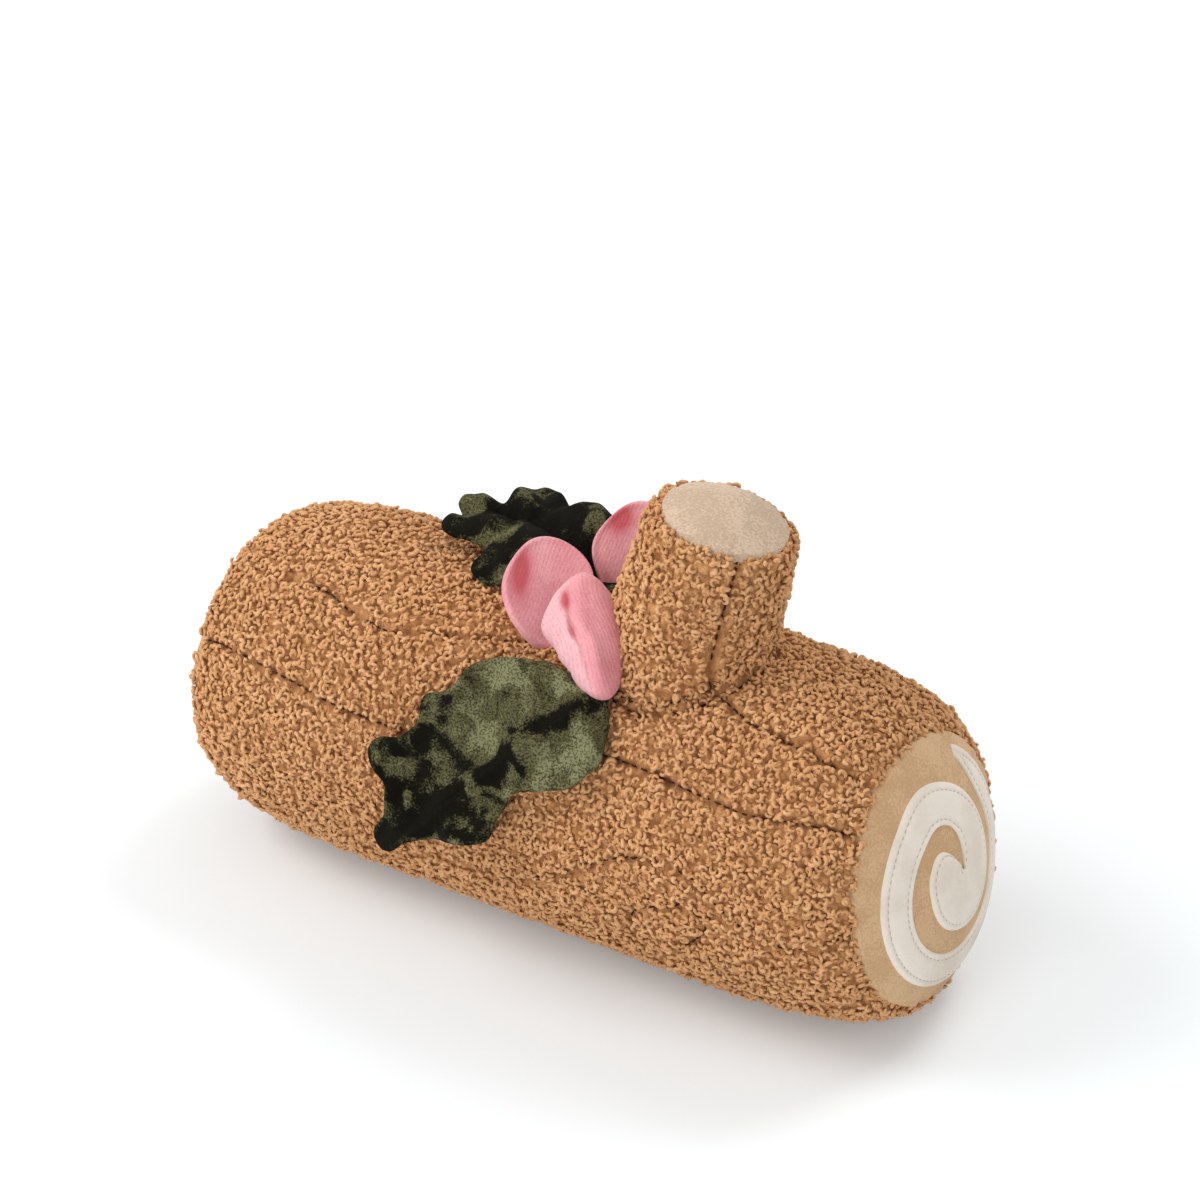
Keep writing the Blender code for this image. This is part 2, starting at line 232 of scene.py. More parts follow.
def get_points(piece: Piece) -> Array:
    """The vertices of a piece's mesh.

    Args:
        piece: The piece.

    Returns:
        One point a row.
    """
    points = np.empty(len(piece.data.vertices) * 3, np.float32)
    piece.data.vertices.foreach_get("co", points)
    return points.reshape(-1, 3).astype(float)


def put_points(piece: Piece, points: Array) -> None:
    """Replace the vertices of a piece's mesh."""
    piece.data.vertices.foreach_set("co", points.astype(np.float32).ravel())
    piece.data.update()


def finish_piece(piece: Piece, material: Material,
                 replaced: tuple[str, ...] = ()) -> None:
    """Dress a piece and tell the frame what it is.

    Args:
        piece: The finished piece.
        material: Its material.
        replaced: CAD nodes that it stands for.
    """
    piece.data.materials.clear()
    piece.data.materials.append(material)
    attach(piece, "root")
    if replaced:
        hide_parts(*replaced)
    LOG.info("%s: %d faces", piece.name, len(piece.data.polygons))


@dataclass
class NubField:
    """Rounded nubs over a cloth tube: one at a random place in each cell of its grid.

    A nub's height is one less the squared distance to its middle, counted in cells, and never below
    zero.
    """

    first: float
    length: float
    girth: float
    cell: float
    rng: np.random.Generator

    def __post_init__(self) -> None:
        """Place the nubs."""
        self.rows = max(int(self.length / self.cell), 1)
        self.columns = int(self.girth / self.cell)
        self.spot = self.rng.uniform(0.12, 0.88, (self.rows, self.columns, 2))

    def centres(self) -> tuple[Array, Array]:
        """The nubs' cloth places.

        Returns:
            Lengths along the tube and round it.
        """
        i, j = np.meshgrid(np.arange(self.rows), np.arange(self.columns), indexing="ij")
        s = self.first + (i + self.spot[..., 0]) * self.length / self.rows
        q = (j + self.spot[..., 1] + 0.5 * (i % 2)) * self.girth / self.columns
        return s.ravel(), q.ravel() % self.girth

    def height(self, s: Array, q: Array) -> Array:
        """Nub heights from 0 to 1 at cloth places.

        Args:
            s: Lengths along the side.
            q: Lengths round the tube.

        Returns:
            The heights.
        """
        p = (s - self.first) / self.length * self.rows
        r = q / self.girth * self.columns
        i = np.clip(np.floor(p).astype(int), 0, self.rows - 1)
        nearest = np.full(p.shape, 9.0)
        for di in (-1, 0, 1):
            row = np.clip(i + di, 0, self.rows - 1)
            shift = 0.5 * (row % 2)
            j = np.floor(r - shift).astype(int)
            for dj in (-1, 0, 1):
                place = self.spot[row, (j + dj) % self.columns]
                away = (row + place[..., 0] - p) ** 2 + (j + dj + place[..., 1] + shift - r) ** 2
                nearest = np.minimum(nearest, away)
        return np.clip(1.0 - nearest / 0.5, 0.0, 1.0)


# --- Materials ---


@dataclass
class NodeSheet:
    """A node tree being drawn, with short ways to add and join its nodes."""

    tree: bpy.types.NodeTree

    def add(self, kind: str, settings: dict | None = None, **sockets: object) -> bpy.types.Node:
        """Add a node.

        Args:
            kind: The node's type name.
            settings: Properties of the node itself.
            sockets: Inputs by name, spaces as underscores: a plain value, or another node's output.

        Returns:
            The new node.
        """
        node = self.tree.nodes.new(kind)
        for key, value in (settings or {}).items():
            setattr(node, key, value)
        for key, value in sockets.items():
            self.feed(node, key.replace("_", " "), value)
        return node

    def feed(self, node: bpy.types.Node, socket: str | int, value: object) -> None:
        """Set an input to a value, or join another node's output to it.

        Args:
            node: The node.
            socket: The input's name or number.
            value: A plain value, or another node's output.
        """
        if isinstance(value, Socket):
            self.tree.links.new(value, node.inputs[socket])
        else:
            node.inputs[socket].default_value = value

    def place(self) -> Socket:
        """Places on the piece, in its own coordinates."""
        return self.add("ShaderNodeTexCoord").outputs["Object"]

    def noise(self, place: Socket, scale: object, detail: float, **more: object) -> Socket:
        """Soft noise from 0 to 1."""
        return self.add("ShaderNodeTexNoise", Vector=place, Scale=scale, Detail=detail, **more).outputs[0]

    def stored(self, name: str) -> Socket:
        """A number kept at the piece's vertices."""
        return self.add("ShaderNodeAttribute", {"attribute_name": name}).outputs["Fac"]

    def mix(self, factor: object, first: object, second: object) -> Socket:
        """The colour between two colours.

        Args:
            factor: The second colour's share.
            first: The first colour.
            second: The second colour.

        Returns:
            The mixed colour.
        """
        node = self.add("ShaderNodeMix", {"data_type": "RGBA"})
        for socket, value in zip((0, 6, 7), (factor, first, second)):
            self.feed(node, socket, (*value, 1.0) if isinstance(value, tuple) else value)
        return node.outputs[2]

    def math(self, operation: str, first: object, second: object = 0.0) -> Socket:
        """One sum of two numbers.

        Args:
            operation: The sum's name.
            first: Its first number.
            second: Its second number.

        Returns:
            The result.
        """
        node = self.add("ShaderNodeMath", {"operation": operation})
        self.feed(node, 0, first)
        self.feed(node, 1, second)
        return node.outputs[0]

    def spread(self, value: object, low: float, high: float, to_low: float = 0.0,
               to_high: float = 1.0) -> Socket:
        """A number moved from one range to another, smoothly, and kept inside it.

        Args:
            value: The number.
            low: Where the first range starts.
            high: Where the first range ends.
            to_low: What low becomes.
            to_high: What high becomes.

        Returns:
            The moved number.
        """
        node = self.add("ShaderNodeMapRange", {"interpolation_type": "SMOOTHSTEP"})
        for socket, number in zip(range(5), (value, low, high, to_low, to_high)):
            self.feed(node, socket, number)
        return node.outputs[0]


def shared_group(name: str, inputs: tuple,
                 outputs: tuple) -> tuple[NodeSheet, bpy.types.Node, bpy.types.Node]:
    """An empty shader node group with named sockets.

    Args:
        name: The group's name.
        inputs: Pairs of socket name and type.
        outputs: Pairs of socket name and type.

    Returns:
        The sheet to draw on, its input node and its output node.
    """
    tree = bpy.data.node_groups.new(name, "ShaderNodeTree")
    for socket, kind in inputs:
        tree.interface.new_socket(name=socket, in_out="INPUT", socket_type=kind)
    for socket, kind in outputs:
        tree.interface.new_socket(name=socket, in_out="OUTPUT", socket_type=kind)
    return NodeSheet(tree), tree.nodes.new("NodeGroupInput"), tree.nodes.new("NodeGroupOutput")


def mottle_group() -> bpy.types.NodeTree:
    """Cloth colour that drifts between two tones in soft patches, broken up by a fine speckle.

    Returns:
        The shared node group.
    """
    sheet, entry, leave = shared_group(
        "Mottle",
        (("Light", "NodeSocketColor"), ("Dark", "NodeSocketColor"), ("Patch Scale", "NodeSocketFloat"),
         ("Speckle Scale", "NodeSocketFloat"), ("Speckle", "NodeSocketFloat")),
        (("Color", "NodeSocketColor"),))
    place = sheet.place()
    patch = sheet.noise(place, entry.outputs["Patch Scale"], 3.0)
    speck = sheet.noise(place, entry.outputs["Speckle Scale"], 2.0)
    drift = sheet.spread(patch, 0.35, 0.65)
    grain = sheet.spread(speck, 0.3, 0.7, -0.5, 0.5)
    grain = sheet.math("MULTIPLY", grain, entry.outputs["Speckle"])
    share = sheet.math("ADD", drift, grain)
    share = sheet.add("ShaderNodeClamp", Value=share).outputs[0]
    sheet.feed(leave, 0, sheet.mix(share, entry.outputs["Light"], entry.outputs["Dark"]))
    return sheet.tree


def nap_group() -> bpy.types.NodeTree:
    """Height of a cloth's fine nap: two sizes of grain added together.

    Returns:
        The shared node group.
    """
    sheet, entry, leave = shared_group(
        "Nap",
        (("Scale", "NodeSocketFloat"), ("Coarse", "NodeSocketFloat")),
        (("Height", "NodeSocketFloat"),))
    place = sheet.place()
    fine = sheet.noise(place, entry.outputs["Scale"], 2.0)
    coarse = sheet.noise(place, sheet.math("MULTIPLY", entry.outputs["Scale"], 0.22), 2.0)
    lift = sheet.math("MULTIPLY", coarse, entry.outputs["Coarse"])
    sheet.feed(leave, 0, sheet.math("ADD", fine, lift))
    return sheet.tree


@dataclass(frozen=True)
class Finish:
    """A cloth's colours and feel: what every material here has in common."""

    name: str
    light: Triple
    dark: Triple
    patch_scale: float = 45.0
    speckle_scale: float = 1300.0
    speckle: float = 0.5
    roughness: float = 0.95
    sheen: float = 0.1
    nap_scale: float = 1500.0
    nap_coarse: float = 0.8
    nap_depth: float = 0.0003
    gloss: float = 0.25

    def worked(self, sheet: NodeSheet, shader: bpy.types.Node, colour: Socket) -> Socket:
        """The cloth's colour, worked up from its mottled one: a plain cloth keeps it."""
        return colour

    def build(self) -> Material:
        """The material: a shader with the nap's bump and the worked colour.

        Returns:
            The new material.
        """
        material = bpy.data.materials.new(self.name)
        material.use_nodes = True
        sheet = NodeSheet(material.node_tree)
        shader = material.node_tree.nodes["Principled BSDF"]
        for socket, value in (("Roughness", self.roughness), ("Sheen Weight", self.sheen),
                              ("Sheen Roughness", 0.45), ("Specular IOR Level", self.gloss)):
            shader.inputs[socket].default_value = value
        mottle = sheet.add("ShaderNodeGroup", {"node_tree": bpy.data.node_groups["Mottle"]},
                           Light=(*self.light, 1.0), Dark=(*self.dark, 1.0), Patch_Scale=self.patch_scale,
                           Speckle_Scale=self.speckle_scale, Speckle=self.speckle)
        nap = sheet.add("ShaderNodeGroup", {"node_tree": bpy.data.node_groups["Nap"]},
                        Scale=self.nap_scale, Coarse=self.nap_coarse)
        bump = sheet.add("ShaderNodeBump", Height=nap.outputs[0], Distance=self.nap_depth, Strength=0.8)
        sheet.feed(shader, "Normal", bump.outputs[0])
        sheet.feed(shader, "Base Color", self.worked(sheet, shader, mottle.outputs[0]))
        return material


@dataclass(frozen=True)
class YarnFinish(Finish):
    """Boucle yarn: each loop has its own tone, and painted shade makes its root darker than its crown."""

    # root is the colour of the darkest loops and of the painted shade at loop roots and in the backing's
    # hollows.
    root: Triple = (0.2, 0.1, 0.04)
    pale: Triple = (0.7, 0.45, 0.25)
    root_shade_share: float = 0.8

    def worked(self, sheet: NodeSheet, shader: bpy.types.Node, colour: Socket) -> Socket:
        """The mottled colour, paler or darker by the loop's tone, and darker towards its root by painted
        shade.

        Args:
            sheet: The material's nodes.
            shader: Its shader, not used here.
            colour: Its mottled colour.

        Returns:
            The worked colour.
        """
        tone, rise = sheet.stored("tone"), sheet.stored("rise")
        colour = sheet.mix(sheet.spread(tone, 0.5, 1.0, 0.0, 0.28), colour, self.pale)
        colour = sheet.mix(sheet.spread(tone, 0.0, 0.3, 0.28, 0.0), colour, self.root)
        # Painted shade: where the rise value is low, at a loop's root or in the backing's hollows, the colour
        # goes to root.
        return sheet.mix(sheet.spread(rise, 0.0, 0.75, self.root_shade_share, 0.0), colour, self.root)


@dataclass(frozen=True)
class CrushedVelvetFinish(Finish):
    """Crushed velvet: nap laid one way looks nearly black and the other way olive, in blotches."""

    deep: Triple = (0.01, 0.012, 0.006)
    # The colour of the painted highlight on the brightest blotches.
    painted_sheen: Triple = (0.3, 0.3, 0.15)
    crush_scale: float = 78.0
    thread_scale: float = 1150.0

    def worked(self, sheet: NodeSheet, shader: bpy.types.Node, colour: Socket) -> Socket:
        """Noise blotches and woven grain, painted highlights, and painted shade along the leaf and midrib.

        Args:
            sheet: The material's nodes.
            shader: Its shader, not used here.
            colour: Its mottled colour.

        Returns:
            The worked colour.
        """
        place = sheet.place()
        crush = sheet.noise(place, self.crush_scale, 2.5, Roughness=0.45, Distortion=0.6)
        thread = sheet.noise(place, self.thread_scale, 0.0)
        crushed = sheet.math("ADD", crush, sheet.math("MULTIPLY", thread, 0.16))
        crushed = sheet.math("ADD", crushed, 0.03)
        # Painted shade: each leaf darkens along its length and along its midrib crease.
        for name, share in (("fold", 0.20), ("painted_shade", 0.26)):
            crushed = sheet.math("SUBTRACT", crushed, sheet.math("MULTIPLY", sheet.stored(name), share))
        # Painted highlight: the brightest blotches take the pale olive colour.
        colour = sheet.mix(sheet.spread(crushed, 0.60, 0.76, 0.0, 1.0), colour, self.painted_sheen)
        colour = sheet.mix(sheet.spread(thread, 0.36, 0.56, 0.55, 0.0), colour, self.deep)
        return sheet.mix(sheet.spread(crushed, 0.43, 0.58, 0.98, 0.0), colour, self.deep)


@dataclass(frozen=True)
class RibbedVelvetFinish(Finish):
    """Ribbed velvet with a darker crimson patch on it."""

    crimson_patch: Triple = (0.5, 0.05, 0.09)
    # The colour of the painted shade in the rib grooves.
    groove: Triple = (0.4, 0.12, 0.18)
    # The colour of the painted highlight.
    painted_highlight_pink: Triple = (0.86, 0.56, 0.58)
    knit_scale: float = 700.0

    def worked(self, sheet: NodeSheet, shader: bpy.types.Node, colour: Socket) -> Socket:
        """Mottled colour with painted highlight, crimson patch, painted shade in rib grooves broken by knit.

        Args:
            sheet: The material's nodes.
            shader: Its shader, not used here.
            colour: Its mottled colour.

        Returns:
            The worked colour.
        """
        knit = sheet.noise(sheet.place(), self.knit_scale, 1.0)
        rib = sheet.math("ADD", sheet.stored("rib"), sheet.spread(knit, 0.3, 0.7, -0.5, 0.5))
        # Painted highlight: the pale value lightens the berry's lit side.
        colour = sheet.mix(sheet.stored("pale"), colour, self.painted_highlight_pink)
        # Painted shade: the rib grooves, where the rib value is low, darken.
        colour = sheet.mix(sheet.spread(rib, -0.3, 0.8, 0.34, 0.0), colour, self.groove)
        return sheet.mix(sheet.stored("crimson_patch"), colour, self.crimson_patch)


@dataclass(frozen=True)
class WovenFinish(Finish):
    """Plain-weave cotton: threads cross at right angles under and over each other."""

    thread_scale: float = 900.0

    def worked(self, sheet: NodeSheet, shader: bpy.types.Node, colour: Socket) -> Socket:
        """The colour, with painted shade between threads; the weave is two crossed waves, also in the bump.

        Args:
            sheet: The material's nodes.
            shader: Its shader.
            colour: Its mottled colour.

        Returns:
            The worked colour.
        """
        place = sheet.place()
        waves = [sheet.add("ShaderNodeTexWave", {"bands_direction": axis}, Vector=place,
                           Scale=self.thread_scale, Distortion=0.6).outputs[1] for axis in ("Y", "Z")]
        weave = sheet.math("MULTIPLY", waves[0], waves[1])
        bump = sheet.add("ShaderNodeBump", Height=weave, Distance=0.0001, Strength=0.4)
        sheet.feed(bump, "Normal", shader.inputs["Normal"].links[0].from_socket)
        sheet.feed(shader, "Normal", bump.outputs[0])
        # Painted shade between the threads, where the weave is low.
        return sheet.mix(sheet.spread(weave, 0.0, 1.0, 0.10, 0.0), colour, self.dark)


BOUCLE_BASE = YarnFinish("boucle base", light=(0.68, 0.345, 0.145), dark=(0.60, 0.285, 0.11),
                         patch_scale=28.0, speckle_scale=1200.0, speckle=0.8, nap_scale=1100.0,
                         nap_coarse=1.3, nap_depth=0.0011, root=(0.40, 0.18, 0.068),
                         pale=(0.80, 0.50, 0.27), root_shade_share=0.62)
BOUCLE_YARN = YarnFinish("boucle yarn", light=(0.72, 0.385, 0.172), dark=(0.65, 0.332, 0.138),
                         patch_scale=25.0, speckle_scale=1500.0, speckle=0.6, roughness=0.85,
                         nap_scale=2000.0, nap_coarse=0.6, root=(0.46, 0.22, 0.088),
                         pale=(0.88, 0.56, 0.30), root_shade_share=0.58)
SUEDE = Finish("tan suede", light=(0.65, 0.43, 0.245), dark=(0.54, 0.335, 0.175), speckle_scale=900.0,
               speckle=1.2, nap_scale=1300.0)
CAP_SUEDE = Finish("cap suede", light=(0.64, 0.48, 0.35), dark=(0.50, 0.365, 0.255),
                   speckle_scale=800.0, speckle=1.5, nap_scale=1200.0)
COTTON = WovenFinish("cream cotton", light=(0.84, 0.76, 0.67), dark=(0.74, 0.65, 0.55),
                     patch_scale=40.0, speckle_scale=700.0, speckle=0.3, roughness=0.9, sheen=0.05,
                     nap_scale=2500.0, nap_coarse=0.4, nap_depth=0.00005)
VELVET = CrushedVelvetFinish("crushed velvet", light=(0.122, 0.116, 0.053), dark=(0.078, 0.072, 0.032),
                             patch_scale=60.0, speckle_scale=1400.0, speckle=1.6, roughness=0.9,
                             sheen=0.0, deep=(0.0034, 0.0028, 0.0016), painted_sheen=(0.215, 0.215, 0.11),
                             gloss=0.08)
BERRY_VELVET = RibbedVelvetFinish("ribbed velvet", light=(0.80, 0.34, 0.37), dark=(0.72, 0.27, 0.30),
                                  patch_scale=60.0, speckle=1.0, roughness=0.75, sheen=0.35,
                                  nap_coarse=0.7, nap_depth=0.00025, crimson_patch=(0.50, 0.055, 0.075),
                                  groove=(0.50, 0.15, 0.19))
DARK_THREAD = Finish("dark thread", light=(0.075, 0.032, 0.02), dark=(0.045, 0.02, 0.013),
                     patch_scale=200.0, speckle_scale=2000.0, roughness=0.8, sheen=0.0,
                     nap_scale=4000.0, nap_coarse=0.5, nap_depth=0.0001)
CREAM_THREAD = Finish("cream thread", light=(0.60, 0.52, 0.43), dark=(0.50, 0.42, 0.34),
                      patch_scale=200.0, speckle_scale=2000.0, roughness=0.8, sheen=0.0,
                      nap_scale=4000.0, nap_coarse=0.5, nap_depth=0.0001)


# --- The log's form ---


@dataclass
class TubeForm:
    """A smooth tube of cloth turned about an axis, from one seam to the other.

    Cloth coordinates are s, the length along its side, and q, the length round it. Its side is rows of
    (length, way along the axis, radius).
    """

    side: Array = field(init=False)

    @property
    def length(self) -> float:
        """Length of the side from end to end."""
        return float(self.side[0, -1])

    @property
    def girth(self) -> float:
        """Length once round the tube."""
        raise NotImplementedError

    def measure(self, way: Array, radius: Array) -> None:
        """Keep the side's profile with the length along it."""
        length = np.concatenate([[0.0], np.cumsum(np.hypot(np.diff(way), np.diff(radius)))])
        self.side = np.stack([length, way, radius])

    def profile(self, s: Array, height: Array | float) -> tuple[Array, Array]:
        """Way and radius at a height off the side, measured square to the profile.

        Args:
            s: Lengths along the side.
            height: How far off the side.

        Returns:
            Ways along the axis, and radii.
        """
        length, way, radius = self.side
        ahead, behind = np.clip(s + 0.0005, 0.0, self.length), np.clip(s - 0.0005, 0.0, self.length)
        forward = np.interp(ahead, length, way) - np.interp(behind, length, way)
        outward = np.interp(ahead, length, radius) - np.interp(behind, length, radius)
        size = np.hypot(forward, outward)
        return (np.interp(s, length, way) - height * outward / size,
                np.interp(s, length, radius) + height * forward / size)

    def point(self, s: Array, q: Array, height: Array | float = 0.0) -> Array:
        """Points over the cloth at a height."""
        raise NotImplementedError

    def basis(self, s: Array, q: Array) -> tuple[Array, Array, Array]:
        """Directions along the tube, round it, and out of it, from points a little apart.

        Args:
            s: Lengths along the side.
            q: Lengths round the tube.

        Returns:
            The three directions at each place.
        """
        step = 0.0008
        ahead, behind = np.minimum(s + step, self.length), np.maximum(s - step, 0.0)
        along = unit(self.point(ahead, q) - self.point(behind, q))
        around = unit(self.point(s, q + step) - self.point(s, q - step))
        return along, around, unit(np.cross(around, along))


@dataclass
class LogForm(TubeForm):
    """The stuffed log: a tube that rounds in to its end seams, its near end leaned back.

    q is the turn from the top towards the front, times the log's radius.
    """

    radius: float
    axis_z: float
    half_length: float
    seam_radius: float
    reach: float = 7.0
    rounding: float = 1.4
    lean: float = math.tan(math.radians(9.6))
    lean_start: float = 0.15

    def __post_init__(self) -> None:
        """Measure the side: its radius swells from the seams as 1 - |x|^7 to the power 1 / 1.4."""
        steps = np.linspace(-1.0, 1.0, 4001)
        share = np.sign(steps) * (1.0 - (1.0 - np.abs(steps)) ** 1.6)
        swell = (1.0 - np.abs(share) ** self.reach) ** (1.0 / self.rounding)
        self.measure(share * self.half_length, self.seam_radius + (self.radius - self.seam_radius) * swell)

    @property
    def girth(self) -> float:
        """Length once round the log at its widest."""
        return TAU * self.radius

    def s_at(self, x: Array) -> Array:
        """Length along the side at a place along X."""
        return np.interp(x, self.side[1], self.side[0])

    def leaned(self, points: Array) -> Array:
        """Lean the near end back: X shrinks with height, by the square of the way to the near seam.

        Args:
            points: Points of the log as if it were straight.

        Returns:
            The leaned points.
        """
        start = 2.0 * self.half_length * self.lean_start
        share = np.clip((points[..., 0] - start) / (self.half_length - start), 0.0, 1.0) ** 2
        moved = points.copy()
        moved[..., 0] -= share * self.lean * (points[..., 2] - self.axis_z)
        return moved

    def point(self, s: Array, q: Array, height: Array | float = 0.0) -> Array:
        """Points over the cloth at a height: the profile turned about X, then leaned.

        Args:
            s: Lengths along the side.
            q: Lengths round the tube.
            height: How far off the cloth.

        Returns:
            The points.
        """
        x, radius = self.profile(s, height)
        turn = q / self.radius
        return self.leaned(np.stack([x, -radius * np.sin(turn), self.axis_z + radius * np.cos(turn)], -1))


@dataclass
class StumpForm(TubeForm):
    """The branch stump: a tapered bar with a rounded top edge, from inside the log to its cap's seam."""

    foot: Array
    direction: Array
    base_radius: float = 0.0407
    top_radius: float = 0.0346
    cap_radius: float = 0.0285
    top: float = 0.1480
    buried_end: float = 0.040
    shoulder: float = 0.012

    def __post_init__(self) -> None:
        """Measure the side, a straight taper and a quarter turn, and the directions across the stump."""
        self.direction = unit(self.direction)
        self.across = unit(np.cross([0.0, 1.0, 0.0], self.direction))
        self.deep = np.cross(self.direction, self.across)
        straight = np.linspace(self.buried_end, self.top - self.shoulder, 200)
        bend = np.linspace(0.0, math.pi / 2, 60)[1:]
        taper = np.linspace(self.base_radius, self.top_radius, 200)
        inward = self.cap_radius + (self.top_radius - self.cap_radius) * np.cos(bend)
        self.measure(np.concatenate([straight, self.top - self.shoulder * (1.0 - np.sin(bend))]),
                     np.concatenate([taper, inward]))

    @property
    def girth(self) -> float:
        """Length once round the stump at its middle."""
        return TAU * (self.base_radius + self.top_radius) / 2

    def point(self, s: Array, q: Array, height: Array | float = 0.0) -> Array:
        """Points over the cloth at a height: the profile turned about the stump's axis.

        Args:
            s: Lengths along the side.
            q: Lengths round the tube.
            height: How far off the cloth.

        Returns:
            The points.
        """
        up, radius = self.profile(s, height)
        turn = q / self.girth * TAU
        out = np.cos(turn)[..., None] * self.across + np.sin(turn)[..., None] * self.deep
        return self.foot + up[..., None] * self.direction + radius[..., None] * out


# --- Boucle ---


LOOP_TAPER = (0.3, 0.9, 1.0, 1.0, 1.0, 0.9, 0.3)
LOOP_SIDES = 4


@dataclass(frozen=True)
class BoucleCloth:
    """The materials of a boucle piece."""

    backing: Material
    yarn: Material
    thread: Material


@dataclass
class BoucleCover:
    """A boucle tube: a lumpy backing with loops of yarn over it, sunk along its sewn lines."""

    name: str
    form: TubeForm
    node: str
    lines: list[Array]
    seed: int
    fill: float
    bands: int
    first_s: float = 0.0
    grid_step: float = 0.0010
    backing_depth: float = 0.0040
    nub_size: float = 0.0035
    extra_loops: float = 0.30
    groove_depth: float = 0.0036
    groove_width: float = 0.0025
    nub_relief: float = 0.0021
    swell_size: float = 0.0110
    swell_relief: float = 0.0012
    edge_tuck: float = 0.0015
    loop_height: float = 0.0026
    thread_lift: float = 0.0032
    ring: tuple[float, float] = (0.0011, 0.0018)
    yarn: tuple[float, float] = (0.00080, 0.00116)
    sweep: tuple[float, float] = (3.0, 5.0)

    def __post_init__(self) -> None:
        """Lay out the backing's grid and its relief."""
        form = self.form
        rng = np.random.default_rng(self.seed)
        self.rows = int((form.length - self.first_s) / self.grid_step)
        self.columns = int(form.girth / self.grid_step)
        self.s = np.linspace(self.first_s, form.length, self.rows)
        self.q = np.arange(self.columns) * form.girth / self.columns
        s, q = np.meshgrid(self.s, self.q, indexing="ij")
        self.nubs = NubField(self.first_s, form.length - self.first_s, form.girth, self.nub_size, rng)
        swells = NubField(self.first_s, form.length - self.first_s, form.girth, self.swell_size, rng)
        self.nub_height = self.nubs.height(s, q)
        self.sunk = self.grooves()
        self.relief = (self.nub_relief * self.nub_height + self.swell_relief * swells.height(s, q)
                       - self.backing_depth - self.sunk)
        edge = smoothstep(0.0, 0.004, form.length - s)
        if self.first_s == 0.0:
            edge = edge * smoothstep(0.0, 0.004, s)
        self.relief -= self.edge_tuck * (1.0 - edge)
        self.rng = rng

    def grooves(self) -> Array:
        """Depth of the grooves that the sewn lines pull: a bell curve of the distance to the nearest line.

        Returns:
            The depth at each point of the backing's grid.
        """
        reach = int(3.0 * self.groove_width / self.grid_step) + 1
        step_s, step_q = self.s[1] - self.s[0], self.q[1] - self.q[0]
        depth = np.zeros((self.rows, self.columns))
        for s, q, tightness in np.concatenate(self.lines):
            i, j = int(round((s - self.s[0]) / step_s)), int(round(q / step_q))
            rows = np.arange(max(i - reach, 0), min(i + reach + 1, self.rows))
            columns = np.arange(j - reach, j + reach + 1)
            if len(rows) == 0:
                continue
            distance = np.hypot((self.s[rows] - s)[:, None], (columns * step_q - q)[None, :])
            window = np.ix_(rows, columns % self.columns)
            pull = tightness * np.exp(-0.5 * (distance / (self.groove_width / 1.6)) ** 2)
            depth[window] = np.maximum(depth[window], pull)
        return self.groove_depth * depth

    def height_at(self, s: Array, q: Array, of: Array) -> Array:
        """A grid of heights read at the nearest grid point.

        Args:
            s: Lengths along the side.
            q: Lengths round the tube.
            of: The grid of heights.

        Returns:
            The heights at those places.
        """
        i = np.clip(np.rint((s - self.s[0]) / (self.s[1] - self.s[0])).astype(int), 0, self.rows - 1)
        j = np.rint(q / (self.q[1] - self.q[0])).astype(int) % self.columns
        return of[i, j]

    def build_backing(self) -> Piece:
        """The lumpy backing, as one padded tube.

        Returns:
            The new piece.
        """
        s, q = np.meshgrid(self.s, self.q, indexing="ij")
        points = self.form.point(s, q, self.relief)
        points[..., 2] = np.maximum(points[..., 2], 0.0)
        size = (self.rows, self.columns)
        piece = new_mesh_object(self.name, points, grid_faces(*size, wrap_columns=True),
                                flat_map=grid_map(*size, wrap_columns=True))
        # Painted shade: the rise value is low between nubs and in the sewn grooves, so the material darkens
        # the backing there.
        shown = np.clip(1.0 - 1.1 * self.sunk / self.groove_depth, 0.0, 1.0)
        set_values(piece, "rise", self.nub_height * shown)
        set_values(piece, "tone", np.full(self.nub_height.shape, 0.45))
        return piece

    def scatter(self) -> tuple[Array, Array, Array]:
        """Places of the loops: one lies on each nub and others stand at random between them.

        Returns:
            The loops' cloth places, and whether each lies on a nub.
        """
        form, rng = self.form, self.rng
        s, q = self.nubs.centres()
        extra = int(len(s) * self.extra_loops)
        s = np.concatenate([s, rng.uniform(self.first_s, form.length, extra)])
        q = np.concatenate([q, rng.uniform(0.0, form.girth, extra)])
        lying = np.arange(len(s)) < len(s) - extra
        widest = form.side[2].max()
        keep = rng.random(s.shape) < (np.interp(s, form.side[0], form.side[2]) / widest) ** 0.7
        sunk = self.height_at(s, q, self.sunk) / self.groove_depth
        keep &= rng.random(s.shape) > (sunk - 0.32) * 2.4
        keep &= form.point(s, q)[..., 2] > 0.0010
        return s[keep], q[keep], lying[keep]

